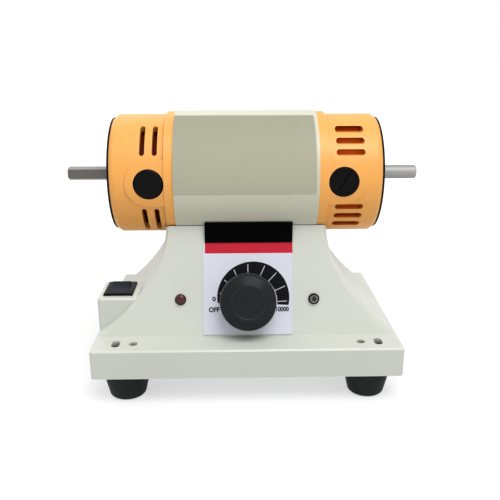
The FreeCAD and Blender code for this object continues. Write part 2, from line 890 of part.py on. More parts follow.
save("rocker_frame", moved(rocker_frame(), switch_x, switch_y, pivot_z))
save("rocker_paddle", moved(rocker_paddle(), switch_x, switch_y, pivot_z))
save("switch_terminals", *[moved(switch_terminal(x, y), switch_x, switch_y, pivot_z)
                           for x in (-terminal_x, terminal_x) for y in (-terminal_y, terminal_y)])

# ---- Speed control on the bottom cover ------------------------------------------------------


def spacer_places():
    x = board_length / 2 - spacer_inset
    y = board_depth / 2 - spacer_inset
    return [(-x, -y), (x, -y), (-x, y), (x, y)]


def heat_sink_front():
    """The flat face at the heat sink's front, which the triac stands against."""
    return board_depth / 2 - spacer_inset - spacer_flats / 2 - heat_sink_gap - heat_sink_depth


def heat_sink():
    """A finned block stood on the board at its back edge."""
    front = heat_sink_front()
    top = board_top + heat_sink_height
    block = box(-heat_sink_width / 2, heat_sink_width / 2, front, front + heat_sink_base, board_top, top)
    pitch = (heat_sink_width - heat_sink_fin) / (heat_sink_fins - 1)
    half = heat_sink_fin / 2
    fins = [box(x - half, x + half, front + heat_sink_base - half, front + heat_sink_depth, board_top, top)
            for x in [pitch * (i - (heat_sink_fins - 1) / 2) for i in range(heat_sink_fins)]]
    return fused([block] + fins)


def triac():
    back = heat_sink_front()
    low = board_top + triac_leg_length
    high = low + triac_height
    half = triac_width / 2
    package = box(-half, half, back - triac_depth, back, low, high)
    tab = box(-half, half, back - triac_tab_thickness, back, high, high + triac_tab_height)
    leg = box(-0.5, 0.5, back - triac_depth / 2 - 0.3, back - triac_depth / 2 + 0.3, board_top, low)
    legs = [moved(leg, x) for x in (-triac_leg_pitch, 0, triac_leg_pitch)]
    return fused([package, tab] + legs)


def capacitor():
    half_x = capacitor_length / 2
    half_y = capacitor_depth / 2
    case = box(-half_x, half_x, -half_y, half_y, board_top, board_top + capacitor_height)
    return moved(case, -board_length / 4, -board_depth / 5)


board = box(-board_length / 2, board_length / 2, -board_depth / 2, board_depth / 2, board_z, board_top)
save("control_board", board)
save("board_spacers", *[moved(hexagon(spacer_flats, foot_height + cover_thickness, board_z), x, y)
                        for x, y in spacer_places()])
save("heat_sink", heat_sink())
save("triac", triac())
save("capacitor", capacitor())

# ---- Motor tube -----------------------------------------------------------------------------


def screw_column(start, end, outer):
    """A square bar round a cap screw's line, out to the wall that carries it."""
    half = cap_column_half
    return box(start, end, -outer, -column_circle + half, axis_z - half, axis_z + half)


def lug(angle):
    """A screw lug inside the tube's right end; the lower one also takes a saddle bolt."""
    end = tube_end - cap_spigot - seat_gap
    return raised(screw_column(end - lug_length, end, tube_bore + tube_wall / 2), angle)


def lug_hole(angle):
    end = tube_end
    radius = cap_screw_radius + running_gap
    hole = cylinder("x", end - cap_spigot - lug_length - 1, end, radius, (-column_circle, axis_z))
    return raised(hole, angle)


def motor_tube():
    lugs = [lug(a) for a in cap_column_angles]
    shell = ring_on_axis(-tube_end, tube_end, tube_radius, tube_bore)
    body = fused([shell] + lugs + [mirror_x(s) for s in lugs])
    holes = [lug_hole(a) for a in cap_column_angles]
    holes += [mirror_x(s) for s in holes]
    bolt_room = axis_z - tube_bore + saddle_bolt_reach + 1
    holes += [cylinder("z", axis_z - tube_radius - 1, bolt_room, saddle_bolt_radius + running_gap, (x, 0))
              for x in saddle_bolt_places()]
    return body.cut(Part.makeCompound(holes))


def saddle_bolt(x):
    seat = axis_z - tube_radius - saddle_wall
    head = cylinder("z", seat - saddle_bolt_head_height, seat - seat_gap, saddle_bolt_head, (x, 0))
    shank = cylinder("z", seat - 1, axis_z - tube_bore + saddle_bolt_reach, saddle_bolt_radius, (x, 0))
    return fused([head, shank])


def tube_label():
    inner = tube_radius + seat_gap
    start = -tube_end
    end = tube_end - label_right_margin
    section = face_of([
        (start, 0, axis_z + inner),
        (end, 0, axis_z + inner),
        (end, 0, axis_z + inner + label_thickness),
        (start, 0, axis_z + inner + label_thickness),
    ])
    wrap = section.revolve(V(0, 0, axis_z), V(1, 0, 0), label_high - label_low)
    wrap.rotate(V(0, 0, axis_z), V(1, 0, 0), 90 - label_high)
    return wrap


save("motor_tube", motor_tube())
save("tube_label", tube_label())
save("saddle_bolts", *[saddle_bolt(x) for x in saddle_bolt_places()])

# ---- End caps, made on the right; the left one is mirrored ----------------------------------


def cap_shell():
    ease = cap_end - cap_end_chamfer
    body = cap_body_radius
    hub = bearing_radius + cap_hub_wall
    inner = cap_end_radius - cap_wall
    outline = [
        (tube_end - cap_spigot, spigot_radius),
        (tube_end + seat_gap, spigot_radius),
        (tube_end + seat_gap, cap_flange_radius),
        (tube_end + cap_flange_length, cap_flange_radius),
        (tube_end + cap_flange_length, body),
        (ease, body),
        (cap_end, cap_end_radius),
        (cap_end, spindle_hole),
        (bearing_out, spindle_hole),
        (bearing_out, bearing_radius + running_gap),
        (bearing_in - 1, bearing_radius + running_gap),
        (bearing_in - 1, hub),
        (end_wall, hub),
        (end_wall, inner),
        (tube_end - cap_spigot, inner),
    ]
    column = screw_column(tube_end - cap_spigot, end_wall + cap_wall / 2, inner + cap_wall / 2)
    columns = [raised(column, a) for a in cap_column_angles]
    return fused([revolved(outline)] + columns)


def screw_holes():
    at = (-column_circle, axis_z)
    through = cylinder("x", tube_end - cap_spigot - 1, cap_end + 1, cap_screw_radius + 2 * seat_gap, at)
    sink = cylinder("x", cap_end - cap_screw_sink, cap_end + 1, cap_screw_head + 2 * seat_gap, at)
    return [raised(through.fuse(sink), a) for a in cap_column_angles]


def boss_land():
    """The raised U-shaped land round the button or brush cap, open towards the tube."""
    top = cap_body_radius + boss_land_height
    r = boss_land_radius
    end = cylinder("y", -top - 1, -tube_radius / 2, r, (boss_x, axis_z))
    straight = box(tube_end + cap_flange_length, boss_x, -top - 1, -tube_radius / 2, axis_z - r, axis_z + r)
    return fused([end, straight]).common(ring_on_axis(tube_end, cap_end, top, cap_body_radius - cap_wall / 2))


def level_slot(level):
    """A slot drawn straight out to the front, so that all of them look equally high from there."""
    half = intake_slot_height / 2
    z = axis_z + level
    x0 = tube_end + intake_slot_inset - intake_slot_length / 2 + half
    x1 = x0 + intake_slot_length - 2 * half
    within = cap_end_radius - cap_wall - 1
    reach = math.sqrt(within ** 2 - (abs(level) + half) ** 2)
    ends = [cylinder("y", -tube_radius - 2, -reach, half, (x, z)) for x in (x0, x1)]
    return fused([box(x0, x1, -tube_radius - 2, -reach, z - half, z + half)] + ends)


def hoop_slot(inset, low, high):
    half = outlet_slot_width / 2
    x = tube_end + inset
    inner = cap_body_radius - cap_wall - 3
    outer = tube_radius + 2
    margin = math.degrees(half / cap_body_radius)
    section = face_of([
        (x - half, 0, axis_z + inner),
        (x + half, 0, axis_z + inner),
        (x + half, 0, axis_z + outer),
        (x - half, 0, axis_z + outer),
    ])
    sector = section.revolve(V(0, 0, axis_z), V(1, 0, 0), high - low - 2 * margin)
    sector.rotate(V(0, 0, axis_z), V(1, 0, 0), 90 - high + margin)
    end = cylinder("y", -outer, -inner, half, (x, axis_z))
    ends = [raised(end, low + margin), raised(end, high - margin)]
    return fused([sector] + ends)


def front_and_back(shapes):
    return shapes + [mirror_y(s) for s in shapes]


def brush_end_cap():
    """Right cap: brush boxes front and back, and axial air slots."""
    deep = brush_boss_depth
    outer = brush_cap_radius + brush_boss_wall
    shell = cap_shell()
    bosses = []
    hollows = screw_holes()
    for angle in (brush_turn, 180 + brush_turn):
        at = (boss_x, axis_z)
        boss = cylinder("y", -cap_body_radius - 0.5, -deep, outer, at)
        boss = boss.common(on_axis(tube_end, cap_end, cap_body_radius - 0.5))
        bosses += [raised(boss, angle), raised(boss_land(), angle)]
        seat = cylinder("y", -tube_radius, -brush_cap_floor, brush_cap_radius + seat_gap, at)
        x = brush_width / 2 + brush_holder_wall + 2 * seat_gap
        z = brush_thickness / 2 + brush_holder_wall + 2 * seat_gap
        bore = box(boss_x - x, boss_x + x, -tube_radius, -deep + 1, axis_z - z, axis_z + z)
        hollows += [raised(seat, angle), raised(bore, angle)]
    slots = [level_slot(level) for level in intake_slot_levels]
    return fused([shell] + bosses).cut(Part.makeCompound(hollows + front_and_back(slots)))


def lock_end_cap():
    """Left cap: guide for the spindle lock in front, and air slots that run round it."""
    guide = lock_head_radius + running_gap
    at = (boss_x, axis_z)
    boss = cylinder("y", -cap_body_radius - 0.5, -lock_floor, guide + brush_boss_wall, at)
    boss = boss.common(on_axis(tube_end, cap_end, cap_body_radius - 0.5))
    well = cylinder("y", -tube_radius, -lock_floor - lock_floor_thickness, guide, at)
    pin_hole = cylinder("y", -tube_radius, -lock_floor + 1, lock_pin_radius + running_gap, at)
    slots = [hoop_slot(inset, low, high) for inset in outlet_slot_insets for low, high in outlet_slot_spans]
    body = fused([cap_shell(), boss, boss_land()])
    hollows = screw_holes() + [well, pin_hole] + front_and_back(slots)
    return mirror_x(body.cut(Part.makeCompound(hollows)))


def end_disc():
    """The black cover plate over an end cap, with a raised hub round the spindle."""
    hub = end_disc_hub_radius
    r = cap_end_radius
    return revolved([
        (cap_end + seat_gap, spindle_hole),
        (cap_end + seat_gap, r),
        (cap_end + end_disc_thickness, r),
        (cap_end + end_disc_thickness, hub),
        (relief_end, hub),
        (relief_end, spindle_hole),
    ])


def slot_guard():
    """Curved strips behind the air slots, seated on the cap's end wall, that keep fingers out."""
    start = tube_end + guard_start
    end = end_wall - seat_gap
    outer = cap_end_radius - cap_wall - guard_gap
    section = face_of([
        (start, 0, axis_z + outer - guard_thickness),
        (end, 0, axis_z + outer - guard_thickness),
        (end, 0, axis_z + outer),
        (start, 0, axis_z + outer),
    ])
    upper = section.revolve(V(0, 0, axis_z), V(1, 0, 0), guard_high - guard_low)
    upper.rotate(V(0, 0, axis_z), V(1, 0, 0), 90 - guard_high)
    return front_and_back([upper, raised(upper, -guard_low - guard_high)])


def cap_screw(angle):
    at = (-column_circle, axis_z)
    seat = cap_end - cap_screw_sink + seat_gap
    head = cylinder("x", seat, seat + cap_screw_head_height, cap_screw_head, at)
    shank = cylinder("x", tube_end - cap_spigot - lug_length, cap_end - 1, cap_screw_radius, at)
    return raised(fused([head, shank]), angle)


save("end_cap_right", brush_end_cap())
save("end_cap_left", lock_end_cap())
save("slot_guard_right", *slot_guard())
save("slot_guard_left", *[mirror_x(s) for s in slot_guard()])
save("end_disc_right", end_disc())
save("end_disc_left", mirror_x(end_disc()))
cap_screws = [cap_screw(a) for a in cap_column_angles]
save("end_cap_screws", *cap_screws, *[mirror_x(s) for s in cap_screws])

# ---- Stator ---------------------------------------------------------------------------------


def shoe_sector(inner, outer, half_length_x):
    """One pole's arc of a ring, above the spindle."""
    section = face_of([
        (-half_length_x, 0, axis_z + inner),
        (half_length_x, 0, axis_z + inner),
        (half_length_x, 0, axis_z + outer),
        (-half_length_x, 0, axis_z + outer),
    ])
    sector = section.revolve(V(0, 0, axis_z), V(1, 0, 0), 2 * pole_shoe_angle)
    sector.rotate(V(0, 0, axis_z), V(1, 0, 0), -pole_shoe_angle)
    return sector


def stator_core():
    outer = tube_bore - seat_gap
    yoke = ring_on_axis(-stack_half, stack_half, outer, outer - yoke_width)
    pieces = [yoke]
    for side in (0, 180):
        shoe = shoe_sector(stator_bore_radius, stator_bore_radius + pole_shoe, stack_half)
        stem = box(-stack_half, stack_half, -pole_width / 2, pole_width / 2,
                   axis_z + stator_bore_radius + pole_shoe / 2, axis_z + outer - yoke_width / 2)
        pieces += [raised(shoe, side), raised(stem, side)]
    return fused(pieces)


def field_coil():
    """One coil round the upper pole, between its shoe and the yoke."""
    low = stator_bore_radius + pole_shoe + insulation
    high = tube_bore - seat_gap - yoke_width - insulation
    x = stack_half + coil_overhang
    y = pole_width / 2 + coil_width
    outer = rounded_block(-x, x, -y, y, axis_z + low / 2, axis_z + high, coil_width * 0.8)
    near_x = stack_half + insulation
    near_y = pole_width / 2 + insulation
    inner = rounded_block(-near_x, near_x, -near_y, near_y, axis_z, axis_z + high + 1, coil_width * 0.1)
    return outer.cut(inner).common(ring_on_axis(-x, x, high, low))


save("stator_core", stator_core())
save("field_coils", field_coil(), raised(field_coil(), 180))

# ---- Rotor ----------------------------------------------------------------------------------


def spindle_end(end):
    """Half of the spindle's outline, as (x, radius) points for an end on the right."""
    relief_start = relief_end - relief_width
    return [
        (end, 0),
        (end, spindle_radius - spindle_chamfer),
        (end - spindle_chamfer, spindle_radius),
        (relief_end, spindle_radius),
        (relief_end, spindle_radius - relief_depth),
        (relief_start, spindle_radius - relief_depth),
        (relief_start, spindle_radius),
        (bearing_in, spindle_radius),
        (bearing_in, spindle_core_radius),
    ]


def spindle():
    """A turned bar with a relief groove inside each end disc, and a flat along its left end."""
    left_reach = spindle_length / 2 - spindle_shift
    right = spindle_end(spindle_length / 2 + spindle_shift)
    left = [(-x, r) for x, r in reversed(spindle_end(left_reach))]
    flat = box(-left_reach - 1, relief_width / 2 - relief_end, -2 * spindle_radius,
               spindle_flat_depth - spindle_radius, axis_z - spindle_radius, axis_z + spindle_radius)
    return revolved(right + left).cut(flat)


def armature_core():
    body = ring_on_axis(-stack_half, stack_half, armature_radius, shaft_bore)
    slot = box(-stack_half - 1, stack_half + 1, -armature_radius - 1, -armature_radius + armature_slot_depth,
               axis_z - armature_slot_width / 2, axis_z + armature_slot_width / 2)
    slots = [raised(slot, 360 * i / armature_slots) for i in range(armature_slots)]
    return body.cut(Part.makeCompound(slots))


def armature_windings():
    """The end turns, the bars that lie in the slots and the leads that run to the commutator."""
    high = armature_radius - winding_inset
    slot_floor = armature_radius - armature_slot_depth
    start = stack_half + insulation
    left = revolved([
        (-start, shaft_bore),
        (-start, high),
        (-stack_half - winding_overhang, high),
        (-stack_half - winding_overhang, shaft_bore),
    ])
    riser = commutator_start - insulation
    right = revolved([
        (start, shaft_bore),
        (riser, shaft_bore),
        (riser, commutator_radius - 1),
        (stack_half + winding_overhang, commutator_radius - 1),
        (stack_half + winding_overhang, high),
        (start, high),
    ])
    half = (armature_slot_width - insulation) / 2
    bar = box(-start - 1, start + 1, -high, -slot_floor - insulation, axis_z - half, axis_z + half)
    bars = [raised(bar, 360 * i / armature_slots) for i in range(armature_slots)]
    return fused([left, right] + bars)


def commutator():
    end = commutator_start + commutator_length
    return revolved([
        (commutator_start, shaft_bore),
        (commutator_start, commutator_radius),
        (end, commutator_radius),
        (end, shaft_bore),
    ])


def cooling_fan():
    hub = fan_hub_radius
    fan_end = fan_start + fan_length
    half = fan_blade_thickness / 2
    body = ring_on_axis(fan_start, fan_end, hub, shaft_bore)
    disc = ring_on_axis(fan_end - fan_plate, fan_end, fan_radius, shaft_bore)
    blade = box(fan_start, fan_end - fan_plate / 2, half - fan_radius, 1 - hub, axis_z - half, axis_z + half)
    blade.rotate(V(0, -hub, axis_z), V(1, 0, 0), fan_blade_turn)
    blades = [raised(blade, 360 * i / fan_blades) for i in range(fan_blades)]
    return fused([body, disc] + blades)


def lock_collar():
    """Holes round it take the lock pin."""
    body = ring_on_axis(-boss_x - lock_collar_length / 2, -boss_x + lock_collar_length / 2,
                        lock_collar_radius, shaft_bore)
    pushed = lock_collar_radius + lock_pin_clear - lock_travel
    hole = cylinder("y", -lock_collar_radius - 1, lock_collar_spare - pushed,
                    lock_pin_radius + lock_collar_hole_clear, (-boss_x, axis_z))
    holes = [raised(hole, 360 * i / lock_collar_holes) for i in range(lock_collar_holes)]
    return body.cut(Part.makeCompound(holes))


# Sealed bearings: the ring that stays still, seals included, and the ring that turns
outer_ring = ring_on_axis(bearing_in, bearing_out - running_gap, bearing_radius,
                          bearing_inner_ring + bearing_gap)
inner_ring = ring_on_axis(bearing_in + running_gap, bearing_out - running_gap, bearing_inner_ring,
                          spindle_radius + running_gap)
save("spindle", spindle())
save("armature_core", armature_core())
save("armature_windings", armature_windings())
save("commutator", commutator())
save("cooling_fan", cooling_fan())
save("lock_collar", lock_collar())
save("bearing_outer_rings", outer_ring, mirror_x(outer_ring))
save("bearing_inner_rings", inner_ring, mirror_x(inner_ring))

# ---- Brush gear, made in front; each piece is repeated behind -------------------------------


def front_and_rear_brush(shape):
    return [raised(shape, brush_turn), raised(shape, 180 + brush_turn)]


def brush_holder():
    """A square brass tube that guides the brush."""
    start = -brush_cap_floor + seat_gap
    end = -commutator_radius - brush_holder_gap
    x = brush_width / 2 + seat_gap
    z = brush_thickness / 2 + seat_gap
    w = brush_holder_wall
    tube = box(boss_x - x - w, boss_x + x + w, start, end, axis_z - z - w, axis_z + z + w)
    return tube.cut(box(boss_x - x, boss_x + x, start - 1, end + 1, axis_z - z, axis_z + z))


def carbon_brush():
    start = -commutator_radius - brush_gap
    block = box(boss_x - brush_width / 2, boss_x + brush_width / 2, start - brush_length, start + 1,
                axis_z - brush_thickness / 2, axis_z + brush_thickness / 2)
    return block.cut(on_axis(tube_end, cap_end, commutator_radius + brush_gap))


def spring_on_y(spring, y, x):
    """Stands a spring made on Z along Y, from y towards the spindle."""
    copy = spring.copy()
    copy.rotate(V(0, 0, 0), V(1, 0, 0), -90)
    copy.translate(V(x, y, axis_z))
    return copy


def brush_spring():
    low = brush_cap_floor
    height = low - commutator_radius - brush_gap - brush_length
    spring = coil_spring(brush_spring_radius, brush_spring_wire, height - 2 * seat_gap, brush_spring_turns)
    return spring_on_y(spring, -low + seat_gap, boss_x)


def brush_cap():
    """A round screw plug with a raised rim and a cross slot for a screwdriver."""
    outer = -brush_cap_floor - brush_cap_height
    body = cylinder("y", outer, -brush_cap_floor, brush_cap_radius, (boss_x, axis_z))
    body = body.makeChamfer(brush_cap_chamfer, [e for e in body.Edges if e.BoundBox.YMax < outer + 0.1])
    inside = brush_cap_radius - brush_cap_rim
    dish = cylinder("y", outer - 1, outer + brush_cap_dish, inside, (boss_x, axis_z))
    long, wide, deep = brush_cap_slot
    slot = box(boss_x - long / 2, boss_x + long / 2, outer - 1, outer + deep,
               axis_z - wide / 2, axis_z + wide / 2)
    slot.rotate(V(boss_x, 0, axis_z), V(0, 1, 0), -brush_cap_slot_turn)
    return body.cut(dish).cut(slot)


save("brush_holders", *front_and_rear_brush(brush_holder()))
save("carbon_brushes", *front_and_rear_brush(carbon_brush()))
save("brush_springs", *front_and_rear_brush(brush_spring()))
save("brush_caps", *front_and_rear_brush(brush_cap()))

# ---- Spindle lock in the left cap -----------------------------------------------------------


def lock_button():
    """A domed head that slides in the cap's guide, on a pin that reaches for the collar."""
    outer = -lock_head_face
    inner = outer + lock_head_height
    at = (-boss_x, axis_z)
    head = cylinder("y", outer, inner, lock_head_radius, at)
    head = head.makeChamfer(lock_head_chamfer, [e for e in head.Edges if e.BoundBox.YMax < outer + 0.1])
    pin = cylinder("y", inner - 1, -lock_collar_radius - lock_pin_clear, lock_pin_radius, at)
    groove = ring("y", clip_start, clip_start + lock_clip_thickness, lock_pin_radius + 1,
                  lock_pin_radius - lock_clip_groove, at)
    return fused([head, pin]).cut(groove)


def lock_clip():
    start = clip_start + running_gap
    end = clip_start + lock_clip_thickness - running_gap
    bore = lock_pin_radius - lock_clip_groove + seat_gap
    clip = ring("y", start, end, lock_clip_radius, bore, (-boss_x, axis_z))
    slit = box(-boss_x - lock_clip_slit / 2, -boss_x + lock_clip_slit / 2, start - 1, end + 1,
               axis_z - lock_clip_radius - 1, axis_z)
    return clip.cut(slit)


def lock_spring():
    head_back = lock_head_height - lock_head_face
    floor = -lock_floor - lock_floor_thickness
    height = floor - head_back - 2 * seat_gap
    spring = coil_spring(lock_spring_radius, lock_spring_wire, height, lock_spring_turns)
    return spring_on_y(spring, head_back + seat_gap, -boss_x)


save("lock_button", lock_button())
save("lock_clip", lock_clip())
save("lock_spring", lock_spring())
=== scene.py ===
# A bench polishing lathe with two spindle ends. Lengths are in metres; X runs along the spindle,
# Y from front to back and Z up.

import math

import bpy
from mathutils import Matrix, Vector


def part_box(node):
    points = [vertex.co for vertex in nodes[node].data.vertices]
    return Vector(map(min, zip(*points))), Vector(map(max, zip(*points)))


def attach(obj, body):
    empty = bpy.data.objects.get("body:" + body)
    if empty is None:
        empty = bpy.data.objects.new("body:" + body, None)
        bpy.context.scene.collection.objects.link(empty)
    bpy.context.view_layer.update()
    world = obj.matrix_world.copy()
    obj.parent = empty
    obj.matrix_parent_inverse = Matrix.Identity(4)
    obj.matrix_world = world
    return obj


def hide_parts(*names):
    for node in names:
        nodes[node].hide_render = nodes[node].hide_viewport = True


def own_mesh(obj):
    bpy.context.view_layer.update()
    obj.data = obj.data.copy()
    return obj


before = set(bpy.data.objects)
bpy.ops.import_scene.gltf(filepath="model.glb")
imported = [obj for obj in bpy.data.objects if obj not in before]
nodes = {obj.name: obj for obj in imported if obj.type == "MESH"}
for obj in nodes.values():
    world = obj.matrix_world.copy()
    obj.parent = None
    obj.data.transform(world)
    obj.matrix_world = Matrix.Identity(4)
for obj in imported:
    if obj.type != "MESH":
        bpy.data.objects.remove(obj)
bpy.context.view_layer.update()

# ---- Room -----------------------------------------------------------------------------------
# A pale floor that runs out to a white room, a soft lamp above the front and a weaker one behind,
# and the camera a little above the machine. The light is level, so that a colour renders about as
# it is written.

scene = bpy.context.scene
scene.view_settings.view_transform = "Standard"

room_white = (1.0, 1.0, 1.0, 1.0)
sky_strength = 0.7             # of the light that the room sheds on the machine
floor_reach = 12.0
floor_drop = 0.0002            # of the floor below the feet
floor_grey = (0.49, 0.49, 0.49, 1.0)
floor_grey_drift = (0.51, 0.51, 0.51, 1.0)
glow_near = 0.55               # of the floor as it is seen, beside the machine
glow_start = 0.2
glow_end = 1.3                 # from here on the floor is seen as white as the room
camera_place = (-0.0085, -0.4691, 0.2376)
camera_pitch = 17.646          # degrees below the horizontal
camera_yaw = 1.460             # degrees towards +X
machine_middle = Vector((0.0, 0.0, 0.1))


def feed(tree, node, inputs):
    """Links each input that comes as another node's socket, and sets each that comes as a value."""
    for name, value in inputs.items():
        if isinstance(value, bpy.types.NodeSocket):
            tree.links.new(value, node.inputs[name])
        else:
            node.inputs[name].default_value = value
    return node


def add_node(tree, kind, inputs=None, **settings):
    made = tree.nodes.new("ShaderNode" + kind)
    for name, value in settings.items():
        setattr(made, name, value)
    return feed(tree, made, inputs or {})


def maths(tree, operation, *values):
    return add_node(tree, "Math", dict(enumerate(values)), operation=operation).outputs[0]


def mixed(tree, share, first, second):
    """A colour that goes from first to second as share goes from 0 to 1."""
    mix = add_node(tree, "Mix", {"Factor": share, "A": first, "B": second}, data_type="RGBA")
    return mix.outputs["Result"]


def stretched(tree, value, before, after=(0.0, 1.0)):
    """Carries a value over from one range to another, and stops at the ends of the new one."""
    return add_node(tree, "MapRange", {"Value": value, "From Min": before[0], "From Max": before[1],
                                       "To Min": after[0], "To Max": after[1]}).outputs[0]


def surface_place(tree):
    """Where the surface lies with the machine at rest, in metres."""
    return add_node(tree, "TexCoord").outputs["Object"]


def looked_at(tree):
    """1 for a ray that sees a surface straight, mirrored or through glass, 0 for one that lights it."""
    path = add_node(tree, "LightPath")
    bent = maths(tree, "MAXIMUM", path.outputs["Is Glossy Ray"], path.outputs["Is Transmission Ray"])
    return maths(tree, "MAXIMUM", path.outputs["Is Camera Ray"], bent)


def room_world():
    """White where it is looked at, and dimmer as a source of light."""
    world = bpy.data.worlds.new("room")
    world.use_nodes = True
    tree = world.node_tree
    tree.nodes.clear()
    light = add_node(tree, "Background", {"Color": room_white, "Strength": sky_strength})
    sight = add_node(tree, "Background", {"Color": room_white, "Strength": 1.0})
    mix = add_node(tree, "MixShader", {0: looked_at(tree), 1: light.outputs[0], 2: sight.outputs[0]})
    out = add_node(tree, "OutputWorld", {"Surface": mix.outputs[0]})
    out.is_active_output = True
    return world


def floor_material():
    """White as far as it is looked at, mid grey to the light, and clear from underneath."""
    material = bpy.data.materials.new("floor_white")
    material.use_nodes = True
    tree = material.node_tree
    grain = add_node(tree, "TexNoise", {"Scale": 40.0})
    away = add_node(tree, "VectorMath", {0: surface_place(tree)}, operation="LENGTH")
    glow = stretched(tree, away.outputs["Value"], (glow_start, glow_end), (glow_near, 1.0))
    shader = feed(tree, tree.nodes["Principled BSDF"], {
        "Base Color": mixed(tree, grain.outputs["Fac"], floor_grey, floor_grey_drift),
        "Roughness": 0.9,
        "Specular IOR Level": 0.0,
        "Emission Color": room_white,
        "Emission Strength": maths(tree, "MULTIPLY", looked_at(tree), glow),
    })
    side = add_node(tree, "NewGeometry").outputs["Backfacing"]
    clear = add_node(tree, "BsdfTransparent")
    mix = add_node(tree, "MixShader", {0: side, 1: shader.outputs[0], 2: clear.outputs[0]})
    feed(tree, tree.nodes["Material Output"], {"Surface": mix.outputs[0]})
    return material


def soft_lamp(name, place, size, watts):
    """A round lamp that faces the middle of the machine."""
    light = bpy.data.lights.new(name, "AREA")
    light.shape = "DISK"
    light.size = size
    light.energy = watts
    lamp = bpy.data.objects.new(name, light)
    scene.collection.objects.link(lamp)
    lamp.location = place
    lamp.rotation_euler = (machine_middle - Vector(place)).to_track_quat("-Z", "Y").to_euler()


scene.world = room_world()
floor_corners = [(x * floor_reach, y * floor_reach, -floor_drop)
                 for x, y in ((-1, -1), (1, -1), (1, 1), (-1, 1))]
floor_mesh = bpy.data.meshes.new("floor")
floor_mesh.from_pydata(floor_corners, [], [(0, 1, 2, 3)])
floor_mesh.materials.append(floor_material())
floor = bpy.data.objects.new("floor", floor_mesh)
scene.collection.objects.link(floor)

soft_lamp("lamp_above", place=(0.32, -0.75, 1.45), size=1.1, watts=14.5)
soft_lamp("lamp_behind", place=(-0.6, 1.3, 1.2), size=1.6, watts=4.0)

camera_data = bpy.data.cameras.new("camera")
camera_data.lens = 45.70
camera_data.sensor_width = 36.0
camera_data.clip_start = 0.01
camera = bpy.data.objects.new("camera", camera_data)
scene.collection.objects.link(camera)
camera.location = camera_place
camera.rotation_euler = (math.radians(90 - camera_pitch), 0, math.radians(-camera_yaw))
scene.camera = camera

# ---- Base casting ---------------------------------------------------------------------------
# An aluminium casting, sprayed in a warm light grey. The paint has a faint orange peel, is painted
# darker in the hollows as shade and shows paler along its edges, where it is thin. The spray doesn't
# get inside, where the casting is left raw and is painted dark as shade.

crease = 40.0                  # degrees; a sharper edge stays sharp in the shading
weld_gap = 0.000002            # corners of facets as near as this are joined
patch_fade = (0.3, 0.7)        # of the noise, from one colour to the other
deepest_hollow = 0.15          # open share of the sky at which a hollow's mask is full
edge_turn = (0.995, 0.93)      # cosine of an edge's turn, where its mask starts and is full
shade_reach = 0.005             # how near another face makes the painted shade fall open share of the sky, below which it starts
shade_start = 0.72              # open share of the sky, below which it starts to
thin_width = 0.0012            # of the thin paint along an edge
thin_share = 0.5               # of the paler colour there
inside_reach = 0.04
inside_start = 0.32            # open share of the sky, below which the spray gives out and the painted shade starts
raw_metal_and_shade = (0.085, 0.085, 0.08, 1)


def effect(name, inputs, outputs):
    """Starts a node group whose sockets have these kinds; returns it, what it gets and its end."""
    tree = bpy.data.node_groups.new(name, "ShaderNodeTree")
    for label, kind in inputs.items():
        tree.interface.new_socket(label, in_out="INPUT", socket_type="NodeSocket" + kind)
    for label, kind in outputs.items():
        tree.interface.new_socket(label, in_out="OUTPUT", socket_type="NodeSocket" + kind)
    return tree, tree.nodes.new("NodeGroupInput").outputs, tree.nodes.new("NodeGroupOutput")


def place_effect(tree, group, inputs):
    made = tree.nodes.new("ShaderNodeGroup")
    made.node_tree = group
    return feed(tree, made, inputs).outputs


def mottling_effect():
    """Drifts between two near colours, in soft patches."""
    tree, given, end = effect("mottling", {"Colour": "Color", "Drift": "Color", "Scale": "Float"},
                              {"Colour": "Color", "Mask": "Float"})
    noise = add_node(tree, "TexNoise", {"Vector": surface_place(tree), "Scale": given["Scale"],
                                        "Detail": 4.0, "Roughness": 0.6})
    mask = stretched(tree, noise.outputs["Fac"], patch_fade)
    feed(tree, end, {"Colour": mixed(tree, mask, given["Colour"], given["Drift"]), "Mask": mask})
    return tree


def peel_effect():
    """Orange peel: a fine, shallow waviness."""
    tree, given, end = effect("orange_peel", {"Scale": "Float", "Depth": "Float"}, {"Normal": "Vector"})
    noise = add_node(tree, "TexNoise", {"Vector": surface_place(tree), "Scale": given["Scale"],
                                        "Detail": 2.0})
    bump = add_node(tree, "Bump", {"Height": noise.outputs["Fac"], "Distance": given["Depth"]})
    feed(tree, end, {"Normal": bump.outputs[0]})
    return tree


def hollow_effect():
    """Finds hollows and seams: 0 in the open, up to 1 deep in a slot or where two faces meet."""
    tree, given, end = effect("hollows", {"Reach": "Float", "Start": "Float"}, {"Mask": "Float"})
    around = add_node(tree, "AmbientOcclusion", {"Distance": given["Reach"]}, samples=8)
    mask = stretched(tree, around.outputs["AO"], (given["Start"], deepest_hollow))
    feed(tree, end, {"Mask": mask})
    return tree


def edge_effect():
    """Finds edges and corners: 0 on the flat, up to 1 at an edge."""
    tree, given, end = effect("edges", {"Width": "Float"}, {"Mask": "Float"})
    rounded = add_node(tree, "Bevel", {"Radius": given["Width"]}, samples=4).outputs[0]
    plain = add_node(tree, "NewGeometry").outputs["Normal"]
    turn = add_node(tree, "VectorMath", {0: rounded, 1: plain}, operation="DOT_PRODUCT")
    feed(tree, end, {"Mask": stretched(tree, turn.outputs["Value"], edge_turn)})
    return tree


mottling = mottling_effect()
orange_peel = peel_effect()
hollows = hollow_effect()
edges = edge_effect()


def mottled(tree, colour, drift, scale):
    """The colour and the mask of soft patches."""
    patches = place_effect(tree, mottling, {"Colour": colour, "Drift": drift, "Scale": scale})
    return patches["Colour"], patches["Mask"]


def peeled(tree, scale, depth):
    return place_effect(tree, orange_peel, {"Scale": scale, "Depth": depth})["Normal"]


def cloudy(tree, mask, roughness, below, above):
    """Roughness that drifts with the patches, from a little below its value to a little above."""
    return stretched(tree, mask, (0.0, 1.0), (roughness - below, roughness + above))


